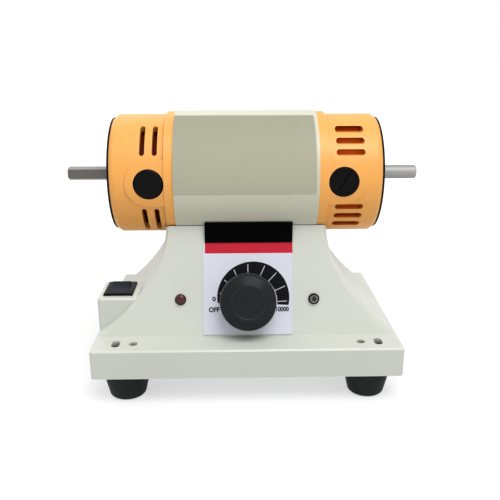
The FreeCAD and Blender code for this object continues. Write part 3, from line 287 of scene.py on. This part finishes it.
def new_material(name, roughness, metallic=0.0, specular=0.5):
    material = bpy.data.materials.new(name)
    material.use_nodes = True
    tree = material.node_tree
    shader = feed(tree, tree.nodes["Principled BSDF"], {
        "Roughness": roughness, "Metallic": metallic, "Specular IOR Level": specular})
    return material, tree, shader


def paint(name, colour, drift, edge_colour, shade_colour, roughness, specular=0.5, start=shade_start):
    """Sprayed paint: soft patches, paler edges, painted shade in the hollows and an orange peel."""
    material, tree, shader = new_material(name, roughness, specular=specular)
    ground, mask = mottled(tree, colour, drift, scale=22.0)
    # Painted shade: the colour darkens in hollows and slots, where little light reaches.
    deep = place_effect(tree, hollows, {"Reach": shade_reach, "Start": start})["Mask"]
    thin = place_effect(tree, edges, {"Width": thin_width})["Mask"]
    shaded_ground = mixed(tree, deep, ground, shade_colour)
    feed(tree, shader, {
        "Base Color": mixed(tree, maths(tree, "MULTIPLY", thin, thin_share), shaded_ground, edge_colour),
        "Roughness": cloudy(tree, mask, roughness, below=0.05, above=0.06),
        "Normal": peeled(tree, scale=900.0, depth=0.00002),
    })
    return material


def overlay(material, mask_of, colour):
    """Lays a colour over a material's own, where the mask that mask_of makes is 1."""
    tree = material.node_tree
    target = tree.nodes["Principled BSDF"].inputs["Base Color"]
    under = target.links[0].from_socket
    tree.links.new(mixed(tree, mask_of(tree), under, colour), target)
    return material


def join_facets(piece):
    weld = piece.modifiers.new("join", "WELD")
    weld.merge_threshold = weld_gap


def shade_smooth(piece, angle=crease):
    """Smooth shading up to an angle; a large flat keeps its own normal beside a narrow bevel."""
    for face in piece.data.polygons:
        face.use_smooth = True
    split = piece.modifiers.new("creases", "EDGE_SPLIT")
    split.split_angle = math.radians(angle)
    piece.modifiers.new("flats", "WEIGHTED_NORMAL")


def dress(name, material, bevel=0.0):
    """Gives a CAD node its material, shades its curves smooth and rounds its edges a little."""
    piece = nodes[name]
    piece.data.materials.clear()
    piece.data.materials.append(material)
    join_facets(piece)
    if bevel:
        ease = piece.modifiers.new("ease", "BEVEL")
        ease.width = bevel
        ease.segments = 2
        ease.limit_method = "ANGLE"
        ease.angle_limit = math.radians(crease)
    shade_smooth(piece)


def shut_in_shade(tree):
    """1 inside the casting, where the spray doesn't reach and shade falls; there the colour is painted
    dark.
    """
    return place_effect(tree, hollows, {"Reach": inside_reach, "Start": inside_start})["Mask"]


base_paint = paint(
    "base_paint",
    colour=(0.66, 0.68, 0.615, 1),
    drift=(0.635, 0.655, 0.59, 1),
    edge_colour=(0.78, 0.80, 0.74, 1),
    shade_colour=(0.40, 0.41, 0.37, 1),
    roughness=0.4,
)
# Inside, the raw casting is painted dark as shade.
dress("base_casting", overlay(base_paint, shut_in_shade, raw_metal_and_shade), bevel=0.0006)

# ---- Bottom cover ---------------------------------------------------------------------------
# Zinc-plated steel sheet that closes the underside, cut out at its corners under the deck's
# holes, and held by the same screws as the feet.


def plated(name, colour, drift, roughness):
    """Bright metal: cloudy plating, with sheen that varies from cloud to cloud."""
    material, tree, shader = new_material(name, roughness, metallic=1.0)
    ground, mask = mottled(tree, colour, drift, scale=60.0)
    feed(tree, shader, {
        "Base Color": ground,
        "Roughness": cloudy(tree, mask, roughness, below=0.08, above=0.1),
    })
    return material


zinc = plated("zinc_plate", (0.58, 0.59, 0.60, 1), (0.44, 0.45, 0.47, 1), roughness=0.35)
dress("bottom_cover", zinc)

# ---- Feet -----------------------------------------------------------------------------------
# Moulded rubber, each held by a screw in a deep bore. They narrow towards the bench and end in a
# round shoulder; the rubber is matt, with faint mould bloom.

foot_shoulder = 0.0030
foot_shoulder_end = -6.0       # degrees, where the shoulder runs into the side
foot_taper = 0.0042
foot_brim_height = 0.0012      # at the top of the side, where it turns in
foot_brim_in = 0.0004
foot_top_in = 0.0009
foot_bore = 0.0046
foot_bore_depth = 0.010
foot_bore_lip = 0.0006
foot_hole = 0.0019


def rubber_material(name, colour, bloom):
    material, tree, shader = new_material(name, roughness=0.62, specular=0.12)
    ground, _ = mottled(tree, colour, bloom, scale=90.0)
    feed(tree, shader, {"Base Color": ground, "Normal": peeled(tree, scale=1400.0, depth=0.00003)})
    return material


def turned_piece(name, outline, body, material, stand, segments=64):
    """A piece turned about Z from (radius, z) points, then stood where the matrix says."""
    mesh = bpy.data.meshes.new(name)
    points = []
    for i in range(segments):
        angle = 2 * math.pi * i / segments
        points += [(r * math.cos(angle), r * math.sin(angle), z) for r, z in outline]
    count = len(outline)
    faces = []
    for i in range(segments):
        here, there = i * count, (i + 1) % segments * count
        faces += [(here + k, there + k, there + k + 1, here + k + 1) for k in range(count - 1)]
    mesh.from_pydata(points, [], faces)
    mesh.transform(stand)
    mesh.materials.append(material)
    piece = bpy.data.objects.new(name, mesh)
    scene.collection.objects.link(piece)
    join_facets(piece)
    shade_smooth(piece)
    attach(piece, body)
    return piece


def arc(centre, radius, start, end, steps):
    """Points (r, z) along an arc, from start to end degrees."""
    angles = [math.radians(start + (end - start) * i / steps) for i in range(steps + 1)]
    return [(centre[0] + radius * math.cos(a), centre[1] + radius * math.sin(a)) for a in angles]


black_rubber = rubber_material("black_rubber", (0.014, 0.0145, 0.015, 1), (0.020, 0.021, 0.022, 1))
for corner in ("front_left", "front_right", "rear_left", "rear_right"):
    low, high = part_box("foot_" + corner)
    foot_radius = (high.x - low.x) / 2
    shoulder_centre = (foot_radius - foot_taper - foot_shoulder, foot_shoulder)
    foot_outline = [
        (foot_bore, foot_bore_depth),
        (foot_bore, foot_bore_lip),
        (foot_bore + foot_bore_lip, 0.0),
    ] + arc(shoulder_centre, foot_shoulder, -90, foot_shoulder_end, steps=6) + [
        (foot_radius - foot_brim_in, high.z - foot_brim_height),
        (foot_radius - foot_top_in, high.z),
        (foot_hole, high.z),
        (foot_hole, foot_bore_depth),
        (foot_bore, foot_bore_depth),
    ]
    stand = Matrix.Translation(((low.x + high.x) / 2, (low.y + high.y) / 2, 0))
    foot = turned_piece(f"foot_{corner}_rubber", foot_outline, "frame", black_rubber, stand)
    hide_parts("foot_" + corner)
dress("foot_screws", zinc)

# ---- Cord gland -----------------------------------------------------------------------------
# The inlet for the mains lead: a black nylon gland through the back face, held by a ring nut
# inside.


def moulded(name, colour, drift, roughness, specular=0.5, grain=0.00001):
    """Moulded plastic: even colour, slightly cloudy, with a fine spark-eroded grain."""
    material, tree, shader = new_material(name, roughness, specular=specular)
    ground, mask = mottled(tree, colour, drift, scale=70.0)
    feed(tree, shader, {
        "Base Color": ground,
        "Roughness": cloudy(tree, mask, roughness, below=0.04, above=0.06),
        "Normal": peeled(tree, scale=2200.0, depth=grain),
    })
    return material


matt_black = moulded("matt_black", (0.004, 0.004, 0.0045, 1), (0.006, 0.006, 0.007, 1),
                     roughness=0.55, specular=0.08)
dress("cord_gland", matt_black, bevel=0.0004)
dress("gland_ring", matt_black)

# ---- Front panel ----------------------------------------------------------------------------
# A printed film on the leaning face: a lilac white ground, a bare red band, and a black crescent
# that widens towards full speed, with white lines that stop short of its edge.

lean = math.radians(16.5)
face_up = Vector((0, math.sin(lean), math.cos(lean)))
face_out = Vector((0, -math.cos(lean), math.sin(lean)))
face_foot = Vector((0, -0.0546, 0.0415))

crescent_outer = (0.0046, 0.0272)         # centre of the outer arc: x across, s up the face
crescent_outer_radius = 0.0258
crescent_inner = (0.0011, 0.0240)
crescent_inner_radius = 0.0206            # just outside the knob
crescent_end = -3.8                       # degrees, past the last line
line_centre = (0.0009, 0.0235)            # that the lines spread from
line_angles = (2.0, 24.0, 46.4, 65.5, 90.0, 112.8, 135.7, 161.0)
line_reach = 0.0242                       # from the outer arc's centre
line_half_width = 0.00027
red_band_left = -0.0297
red_band_low = 0.0589
panel_lilac = (0.72, 0.73, 0.825, 1)
panel_lilac_drift = (0.70, 0.71, 0.80, 1)
panel_red = (0.58, 0.022, 0.042, 1)
panel_black = (0.004, 0.004, 0.007, 1)
panel_white = (0.62, 0.62, 0.62, 1)


def on_face(x, s, out=0.0):
    """A point on the leaning face: x across, s up the face, out from it."""
    return face_foot + Vector((x, 0, 0)) + face_up * s + face_out * out


def face_matrix(x, s, out=0.0):
    """Stands a piece on the leaning face, its Z outwards and its Y up the face."""
    turn = Matrix((Vector((1, 0, 0)), face_up, face_out)).transposed()
    return Matrix.Translation(on_face(x, s, out)) @ turn.to_4x4()


def dot(tree, vector, direction):
    product = add_node(tree, "VectorMath", {0: vector, 1: direction}, operation="DOT_PRODUCT")
    return product.outputs["Value"]


def face_place(tree, x, s):
    """How far the surface is across and up from a point of the leaning face, as two numbers."""
    moved = add_node(tree, "VectorMath", {0: surface_place(tree), 1: on_face(x, s)},
                     operation="SUBTRACT").outputs[0]
    return dot(tree, moved, (1, 0, 0)), dot(tree, moved, face_up)


def face_vector(tree, x, s):
    across, up = face_place(tree, x, s)
    return add_node(tree, "CombineXYZ", {"X": across, "Y": up}).outputs[0]


def face_distance(tree, x, s):
    length = add_node(tree, "VectorMath", {0: face_vector(tree, x, s)}, operation="LENGTH")
    return length.outputs["Value"]


def dial_effect():
    """The panel's print: masks for the black crescent, its white lines and the red band."""
    tree, _, end = effect("dial_print", {}, {"Black": "Float", "White": "Float", "Red": "Float"})
    outer = face_distance(tree, *crescent_outer)
    inner = face_distance(tree, *crescent_inner)
    crescent = maths(tree, "MULTIPLY", maths(tree, "LESS_THAN", outer, crescent_outer_radius),
                     maths(tree, "GREATER_THAN", inner, crescent_inner_radius))
    across, up = face_place(tree, *line_centre)
    angle = maths(tree, "DEGREES", maths(tree, "ARCTAN2", up, across))
    black = maths(tree, "MULTIPLY", crescent, maths(tree, "GREATER_THAN", angle, crescent_end))
    place = face_vector(tree, *line_centre)
    nearest = 1.0              # far off
    for degrees in line_angles:
        turn = math.radians(degrees)
        aside = maths(tree, "ABSOLUTE", dot(tree, place, (-math.sin(turn), math.cos(turn), 0)))
        nearest = maths(tree, "MINIMUM", aside, nearest)
    line = maths(tree, "MULTIPLY", maths(tree, "LESS_THAN", nearest, line_half_width),
                 maths(tree, "LESS_THAN", outer, line_reach))
    across, up = face_place(tree, 0.0, 0.0)
    red = maths(tree, "MULTIPLY", maths(tree, "GREATER_THAN", up, red_band_low),
                maths(tree, "GREATER_THAN", across, red_band_left))
    feed(tree, end, {"Black": black, "White": maths(tree, "MULTIPLY", line, black), "Red": red})
    return tree


def panel_material():
    material, tree, shader = new_material("panel_film", roughness=0.4, specular=0.08)
    ground, _ = mottled(tree, panel_lilac, panel_lilac_drift, scale=35.0)
    ink = place_effect(tree, dial_effect(), {})
    banded = mixed(tree, ink["Red"], ground, panel_red)
    inked = mixed(tree, ink["Black"], banded, panel_black)
    feed(tree, shader, {
        "Base Color": mixed(tree, ink["White"], inked, panel_white),
        "Normal": peeled(tree, scale=500.0, depth=0.00001),
    })
    return material


dress("front_panel", panel_material())

# ---- Dial lettering -------------------------------------------------------------------------
# Numbers and OFF at the ends of the speed scale, screen printed on the film in heavy black
# letters.

ink_lift = 0.00053             # out from the leaning face, just clear of the panel
ink_weight = 0.045             # of a letter's size, added all round each stroke


def ink_material(name, colour, drift):
    material, tree, shader = new_material(name, roughness=0.4, specular=0.1)
    ground, _ = mottled(tree, colour, drift, scale=300.0)
    feed(tree, shader, {"Base Color": ground})
    return material


ink_black = ink_material("ink_black", (0.010, 0.010, 0.018, 1), (0.014, 0.014, 0.025, 1))


def printed(name, words, left, right, low, high):
    """Prints words that fill a stretch of the panel, from left to right and from low to high."""
    curve = bpy.data.curves.new(name, "FONT")
    curve.body = words
    curve.offset = ink_weight
    curve.materials.append(ink_black)
    piece = bpy.data.objects.new(name, curve)
    scene.collection.objects.link(piece)
    bpy.context.view_layer.update()
    corners = [Vector(corner) for corner in piece.bound_box]
    start = Vector((min(c.x for c in corners), min(c.y for c in corners)))
    end = Vector((max(c.x for c in corners), max(c.y for c in corners)))
    wide = (right - left) / (end.x - start.x)
    tall = (high - low) / (end.y - start.y)
    seat = face_matrix(left, low, ink_lift) @ Matrix.Diagonal((wide, tall, tall, 1))
    piece.matrix_world = seat @ Matrix.Translation((-start.x, -start.y, 0))
    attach(piece, "frame")


printed("dial_zero", "0", left=-0.0247, right=-0.0221, low=0.0247, high=0.0281)
printed("dial_off", "OFF", left=-0.0272, right=-0.0195, low=0.0169, high=0.0206)
printed("dial_full", "10000", left=0.0210, right=0.0300, low=0.0170, high=0.0205)

# ---- Nameplate ------------------------------------------------------------------------------
# A bare black wedge of moulded plastic, stuck to the leaning face above the panel and bevelled
# along its upper edge.

jet_black = moulded("jet_black", (0.0010, 0.0010, 0.0011, 1), (0.0018, 0.0018, 0.0019, 1),
                    roughness=0.6, specular=0.01)
dress("nameplate", jet_black, bevel=0.0003)

# ---- Speed control --------------------------------------------------------------------------
# A charcoal plastic knob with a skirt, a straight side, a shoulder that slopes up to a crown and a
# shallow dish in the crown. It turns with the potentiometer's brass shaft, held by a grub screw.

knob_x = 0.0007
knob_s = 0.0250                # up the leaning face
panel_skin = 0.0005
knob_gap = 0.0008
knob_height = 0.0185
knob_radius = 0.0202
skirt_height = 0.0035
skirt_ease = 0.0004            # that its rims are broken by
skirt_round = 0.0008           # height of its upper rim's curve
skirt_ledge = 0.0006           # from the skirt in to the straight side
shoulder_drop = 0.0032         # from the crown down to the straight side
shoulder_round = 0.0022        # where the side turns into the shoulder
crown_radius = 0.0124
crown_ease = 0.0004
crown_drop = 0.0001
dish_radius = 0.0112
dish_depth = 0.0007
dish_lip = 0.0003              # of the crown, round the dish
dish_lip_drop = 0.0002
dish_wall = 0.0006             # that the dish's wall leans in by
dish_middle = 0.0002
dish_sag = 0.0001              # of the dish's middle
shaft_room = 0.0031
shaft_reach = 0.0032           # of the shaft's hole, under the knob's top
nut_room = 0.0076
nut_room_depth = 0.005
rub_width = 0.0007             # of the paler edge: rubbed plastic and a painted highlight
rub_and_sheen_grey = (0.11, 0.115, 0.12, 1)

knob_body = knob_radius - skirt_ledge
knob_base = panel_skin + knob_gap
knob_top = knob_base + knob_height
dish_floor = knob_top - dish_depth
shoulder_slope = math.degrees(math.atan2(shoulder_drop, knob_body - crown_radius))
bend = shoulder_round * math.tan(math.radians((90 - shoulder_slope) / 2))
bend_centre = (knob_body - shoulder_round, knob_top - shoulder_drop - bend)


def rubbed_and_sheen_edges(tree):
    return place_effect(tree, edges, {"Width": rub_width})["Mask"]


knob_outline = [
    (nut_room, knob_base + nut_room_depth),
    (nut_room, knob_base),
    (knob_radius - skirt_ease, knob_base),
    (knob_radius, knob_base + skirt_ease),
    (knob_radius, knob_base + skirt_height - skirt_round),
    (knob_radius - skirt_ease, knob_base + skirt_height),
    (knob_body, knob_base + skirt_height),
] + arc(bend_centre, shoulder_round, 0, 90 - shoulder_slope, steps=6) + [
    (crown_radius, knob_top - crown_drop),
    (crown_radius - crown_ease, knob_top),
    (dish_radius + dish_lip, knob_top),
    (dish_radius, knob_top - dish_lip_drop),
    (dish_radius - dish_wall, dish_floor),
    (dish_middle, dish_floor - dish_sag),
    (0.0, dish_floor - dish_sag),
    (0.0, knob_top - shaft_reach),
    (shaft_room, knob_top - shaft_reach),
    (shaft_room, knob_base + nut_room_depth),
    (nut_room, knob_base + nut_room_depth),
]
charcoal = moulded("charcoal_plastic", (0.0130, 0.0138, 0.0155, 1), (0.0165, 0.0174, 0.0192, 1),
                   roughness=0.30, specular=0.10, grain=0.00002)
# Paler along its edges: partly rubbed plastic, partly a painted highlight.
overlay(charcoal, rubbed_and_sheen_edges, rub_and_sheen_grey)
knob = turned_piece("knob_body", knob_outline, "speed_control", charcoal,
                    face_matrix(knob_x, knob_s), segments=96)
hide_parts("speed_knob")
brass = plated("brass", (0.70, 0.50, 0.20, 1), (0.60, 0.42, 0.16, 1), roughness=0.3)
dress("pot_shaft", brass)
for name in ("knob_screw", "potentiometer", "pot_nut"):
    dress(name, zinc)

# ---- Pilot lamp -----------------------------------------------------------------------------
# A dark red lens with a domed nose, moulded in one piece and held in a plain black bezel on the
# leaning face.

lamp_x = -0.0473
lamp_s = 0.0262
lens_radius = 0.0034
lens_low = -0.0065
lens_rise = 0.0018
lens_nose = 0.0010             # of the dome, over the lens's rim

dome_radius = (lens_radius ** 2 + lens_nose ** 2) / (2 * lens_nose)
dome_centre = (0.0, lens_rise + lens_nose - dome_radius)
dome_start = math.degrees(math.acos(lens_radius / dome_radius))


def lens_material():
    material, tree, shader = new_material("lens_red", roughness=0.16, specular=0.3)
    ground, _ = mottled(tree, (0.050, 0.010, 0.011, 1), (0.075, 0.020, 0.021, 1), scale=350.0)
    feed(tree, shader, {"Base Color": ground})
    return material


lens_outline = [(0.0, lens_low), (lens_radius, lens_low)]
lens_outline += arc(dome_centre, dome_radius, dome_start, 90, steps=9)
lens = turned_piece("lamp_lens", lens_outline, "frame", lens_material(),
                    face_matrix(lamp_x, lamp_s), segments=48)
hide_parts("indicator_lens")
gloss_black = moulded("gloss_black", (0.0018, 0.0018, 0.002, 1), (0.003, 0.003, 0.0033, 1),
                      roughness=0.25, specular=0.07)
dress("indicator_bezel", gloss_black, bevel=0.0003)

# ---- Pedal jack -----------------------------------------------------------------------------
# The socket for a foot pedal's plug, nickel plated and dark down its bore. It goes through the
# leaning face from inside, and a black ring nut holds it there.

nickel = plated("nickel", (0.30, 0.295, 0.28, 1), (0.05, 0.05, 0.048, 1), roughness=0.3)
dress("jack_socket", nickel)
dress("jack_nut", gloss_black, bevel=0.0003)

# ---- Rocker switch --------------------------------------------------------------------------
# A black frame snapped into the housing, with a dark blue paddle that rocks on two pins, and
# brass terminals under it.

frame_black = moulded("frame_black", (0.0025, 0.0025, 0.0028, 1), (0.004, 0.004, 0.0045, 1),
                      roughness=0.35, specular=0.04)
paddle_blue = moulded("paddle_blue", (0.008, 0.011, 0.018, 1), (0.011, 0.014, 0.022, 1),
                      roughness=0.35, specular=0.035)
dress("rocker_frame", frame_black, bevel=0.0003)
dress("rocker_paddle", paddle_blue, bevel=0.0003)
dress("switch_terminals", brass)

# ---- Speed control board --------------------------------------------------------------------
# Inside the base, a green board on brass spacers, with a finned heat sink, a triac and a film
# capacitor.

board_green = moulded("board_green", (0.03, 0.14, 0.05, 1), (0.04, 0.17, 0.06, 1), roughness=0.4)
case_yellow = moulded("case_yellow", (0.60, 0.36, 0.04, 1), (0.66, 0.40, 0.05, 1), roughness=0.4)
bare_aluminium = plated("bare_aluminium", (0.72, 0.73, 0.74, 1), (0.62, 0.63, 0.64, 1), roughness=0.4)
dress("control_board", board_green)
dress("board_spacers", brass)
dress("heat_sink", bare_aluminium)
dress("triac", matt_black)
dress("capacitor", case_yellow, bevel=0.0006)

# ---- Motor tube -----------------------------------------------------------------------------
# Steel tube sprayed ivory, bolted down in the casting's saddle. A painted shadow darkens the seam
# where it sinks between the saddle's edges.

seam_width = 0.0011
seam_shadow_colour = (0.105, 0.105, 0.08, 1)


def saddle_seams():
    """(y, z) of the saddle's front and rear edges, where the leaning faces meet the tube."""
    low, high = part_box("motor_tube")
    axis_z = (low.z + high.z) / 2
    radius = (high.z - low.z) / 2
    dy, dz = face_foot.y, face_foot.z - axis_z
    along = face_up.y * dy + face_up.z * dz
    s = -along - math.sqrt(along ** 2 - dy ** 2 - dz ** 2 + radius ** 2)
    edge = face_foot + face_up * s
    return ((edge.y, edge.z), (-edge.y, edge.z))


def surface_axes(tree):
    return add_node(tree, "SeparateXYZ", {0: surface_place(tree)}).outputs


def seam_shadow_mask(tree):
    """1 along the middle of a seam, fading to 0 at its width."""
    place = surface_axes(tree)
    nearest = 1.0              # far off
    for y, z in saddle_seams():
        off_y = maths(tree, "SUBTRACT", place["Y"], y)
        off_z = maths(tree, "SUBTRACT", place["Z"], z)
        squares = maths(tree, "ADD", maths(tree, "MULTIPLY", off_y, off_y),
                        maths(tree, "MULTIPLY", off_z, off_z))
        nearest = maths(tree, "MINIMUM", maths(tree, "SQRT", squares), nearest)
    return stretched(tree, nearest, (seam_width, seam_width / 2))


tube_paint = paint(
    "tube_paint",
    colour=(0.64, 0.64, 0.51, 1),
    drift=(0.62, 0.62, 0.49, 1),
    edge_colour=(0.74, 0.74, 0.63, 1),
    shade_colour=(0.34, 0.33, 0.24, 1),
    roughness=0.38,
    specular=0.35,
)
# A painted shadow along the seams with the saddle.
dress("motor_tube", overlay(tube_paint, seam_shadow_mask, seam_shadow_colour))
dress("saddle_bolts", zinc)

# ---- Tube label -----------------------------------------------------------------------------
# A bare sage film, coloured paler towards its lower edge as painted light against the shade there,
# wrapped round the front of the tube and held by its own glue.

label_low = 0.143
label_high = 0.192
sage_low = (0.50, 0.495, 0.375, 1)
sage_high = (0.345, 0.34, 0.254, 1)
sage_drift = (0.97, 0.97, 0.97)


def film_material():
    material, tree, shader = new_material("sage_film", roughness=0.5, specular=0.1)
    # Paler low down and darker high up: painted light and shade.
    rise = stretched(tree, surface_axes(tree)["Z"], (label_low, label_high))
    light_evened_sage = mixed(tree, rise, sage_low, sage_high)
    darker = add_node(tree, "VectorMath", {0: light_evened_sage, 1: sage_drift}, operation="MULTIPLY")
    ground, _ = mottled(tree, light_evened_sage, darker.outputs[0], scale=40.0)
    feed(tree, shader, {"Base Color": ground, "Normal": peeled(tree, scale=400.0, depth=0.00001)})
    return material


dress("tube_label", film_material())

# ---- End caps -------------------------------------------------------------------------------
# Aluminium castings sprayed apricot, cut through with air slots and screwed to the tube. The
# raised land round the lock button and the brush cap is part of the casting. Behind the slots a
# guard keeps fingers out, and a black plate covers each outer end.


def cap_paint(name, shade_colour, start):
    return paint(
        name,
        colour=(0.96, 0.44, 0.094, 1),
        drift=(0.93, 0.415, 0.086, 1),
        edge_colour=(1.0, 0.55, 0.18, 1),
        shade_colour=shade_colour,
        roughness=0.40,
        specular=0.45,
        start=start,
    )


# Each cap's paint darkens in its slots and hollows as painted shade: nearly black maroon on the left,
# deeper orange on the right.
cap_paint_left = cap_paint("cap_paint_left", shade_colour=(0.13, 0.016, 0.002, 1), start=0.85)
cap_paint_right = cap_paint("cap_paint_right", shade_colour=(0.85, 0.20, 0.013, 1), start=0.72)
dress("end_cap_left", cap_paint_left, bevel=0.0004)
dress("end_cap_right", cap_paint_right, bevel=0.0004)
# The guards behind the slots are coloured for light: dark maroon on the left as painted shade, bright
# orange on the right as painted light.
guard_shaded_maroon = moulded("guard_shaded_maroon", (0.13, 0.012, 0.001, 1), (0.10, 0.009, 0.001, 1),
                       roughness=0.5, specular=0.05)
guard_lit_orange = moulded("guard_lit_orange", (1.0, 0.27, 0.022, 1), (0.95, 0.24, 0.02, 1),
                       roughness=0.5, specular=0.05)
dress("slot_guard_left", guard_shaded_maroon)
dress("slot_guard_right", guard_lit_orange)
dress("end_cap_screws", zinc)
dress("end_disc_left", matt_black, bevel=0.0004)
dress("end_disc_right", matt_black, bevel=0.0004)

# ---- Field ----------------------------------------------------------------------------------
# Varnished laminations, pressed into the tube, with a coil of enamelled copper on each pole.

varnished_steel = moulded("varnished_steel", (0.10, 0.10, 0.11, 1), (0.14, 0.14, 0.15, 1), roughness=0.4)
enamelled_copper = moulded("enamelled_copper", (0.30, 0.10, 0.035, 1), (0.38, 0.14, 0.05, 1),
                           roughness=0.35)
dress("stator_core", varnished_steel)
dress("field_coils", enamelled_copper)

# ---- Armature -------------------------------------------------------------------------------
# Laminations, windings and a commutator on the spindle, with a fan at one end. It runs in two
# sealed ball bearings of ground steel.

bearing_steel = plated("bearing_steel", (0.66, 0.67, 0.68, 1), (0.56, 0.57, 0.58, 1), roughness=0.18)
dress("armature_core", varnished_steel)
dress("armature_windings", enamelled_copper)
dress("commutator", enamelled_copper)
dress("cooling_fan", bare_aluminium)
dress("bearing_inner_rings", bearing_steel)
dress("bearing_outer_rings", bearing_steel)

# ---- Brush gear -----------------------------------------------------------------------------
# Carbon brushes pushed in by springs, in brass holders, each closed by a glossy black screw plug
# with a slot.

carbon_black = moulded("carbon_black", (0.02, 0.02, 0.02, 1), (0.03, 0.03, 0.03, 1), roughness=0.6)
spring_steel = plated("spring_steel", (0.52, 0.52, 0.53, 1), (0.42, 0.42, 0.44, 1), roughness=0.3)
dress("brush_holders", brass)
dress("carbon_brushes", carbon_black)
dress("brush_springs", spring_steel)
dress("brush_caps", gloss_black, bevel=0.0003)

# ---- Spindle lock ---------------------------------------------------------------------------
# A glossy black push button, sprung outwards and kept by a clip, which drops into a steel collar
# on the spindle. Its coil spring stands on the floor of the well and is pressed shorter.

spring_wire = 0.00045          # radius
spring_turns = 3
turn_steps = 24
wire_sides = 8
wire_crease = 50.0             # degrees, over the 45 between two sides of the wire


def spring_coil(name, low, high):
    """A wire coil along Y that fills the room from low to high."""
    radius = (high.x - low.x) / 2 - spring_wire
    middle = (low + high) / 2
    start, length = low.y + spring_wire, high.y - low.y - 2 * spring_wire
    rings = spring_turns * turn_steps
    points = []
    for i in range(rings + 1):
        turn = 2 * math.pi * i / turn_steps
        outward = Vector((math.cos(turn), 0, math.sin(turn)))
        centre = Vector((middle.x, start + length * i / rings, middle.z)) + outward * radius
        for k in range(wire_sides):
            round_wire = 2 * math.pi * k / wire_sides
            offset = outward * math.cos(round_wire) + Vector((0, 1, 0)) * math.sin(round_wire)
            points.append(centre + offset * spring_wire)
    first_end = tuple(reversed(range(wire_sides)))
    last_end = tuple(range(rings * wire_sides, (rings + 1) * wire_sides))
    faces = [first_end, last_end]
    for i in range(rings):
        for k in range(wire_sides):
            here, beside = i * wire_sides + k, i * wire_sides + (k + 1) % wire_sides
            faces.append((here, beside, beside + wire_sides, here + wire_sides))
    mesh = bpy.data.meshes.new(name)
    mesh.from_pydata(points, [], faces)
    mesh.materials.append(spring_steel)
    piece = bpy.data.objects.new(name, mesh)
    scene.collection.objects.link(piece)
    shade_smooth(piece, wire_crease)
    return piece


dress("lock_button", gloss_black, bevel=0.0004)
dress("lock_clip", spring_steel)
low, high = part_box("lock_spring")
lock_coil = spring_coil("lock_coil", low, high)
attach(lock_coil, "frame")
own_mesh(lock_coil)
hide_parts("lock_spring")
dress("lock_collar", zinc)

# ---- Spindle --------------------------------------------------------------------------------
# Ground steel, turned at both ends, with a flat milled on the left end for a chuck's screw. The
# flat is duller and darker than the ground round.

flat_depth = 0.0037            # of the flat, in front of the spindle's axis
free_end = 0.095               # from the middle, where the spindle leaves the left cap
flat_slack = 0.00006
flat_steel = (0.150, 0.140, 0.130, 1)
ground_steel = (0.30, 0.297, 0.293, 1)
ground_steel_drift = (0.39, 0.387, 0.382, 1)
ground_steel_sheen = (0.53, 0.66)
grinding = (900.0, 30.0, 30.0)            # scale of the marks, which run round the spindle


def flat_mask(tree):
    """1 on the milled flat, and 0 elsewhere."""
    place = surface_axes(tree)
    off = maths(tree, "ABSOLUTE", maths(tree, "ADD", place["Y"], flat_depth))
    near = maths(tree, "LESS_THAN", off, flat_slack)
    return maths(tree, "MULTIPLY", near, maths(tree, "LESS_THAN", place["X"], -free_end))


def ground_steel_material():
    material, tree, shader = new_material("ground_steel", roughness=0.5, metallic=1.0)
    squeezed = add_node(tree, "Mapping", {"Vector": surface_place(tree), "Scale": grinding})
    lines = add_node(tree, "TexNoise", {"Vector": squeezed.outputs[0], "Scale": 1.0, "Detail": 3.0})
    marks = lines.outputs["Fac"]
    feed(tree, shader, {
        "Base Color": mixed(tree, marks, ground_steel, ground_steel_drift),
        "Roughness": stretched(tree, marks, (0.0, 1.0), ground_steel_sheen),
        "Normal": add_node(tree, "Bump", {"Height": marks, "Distance": 0.00001}).outputs[0],
    })
    return material


dress("spindle", overlay(ground_steel_material(), flat_mask, flat_steel))
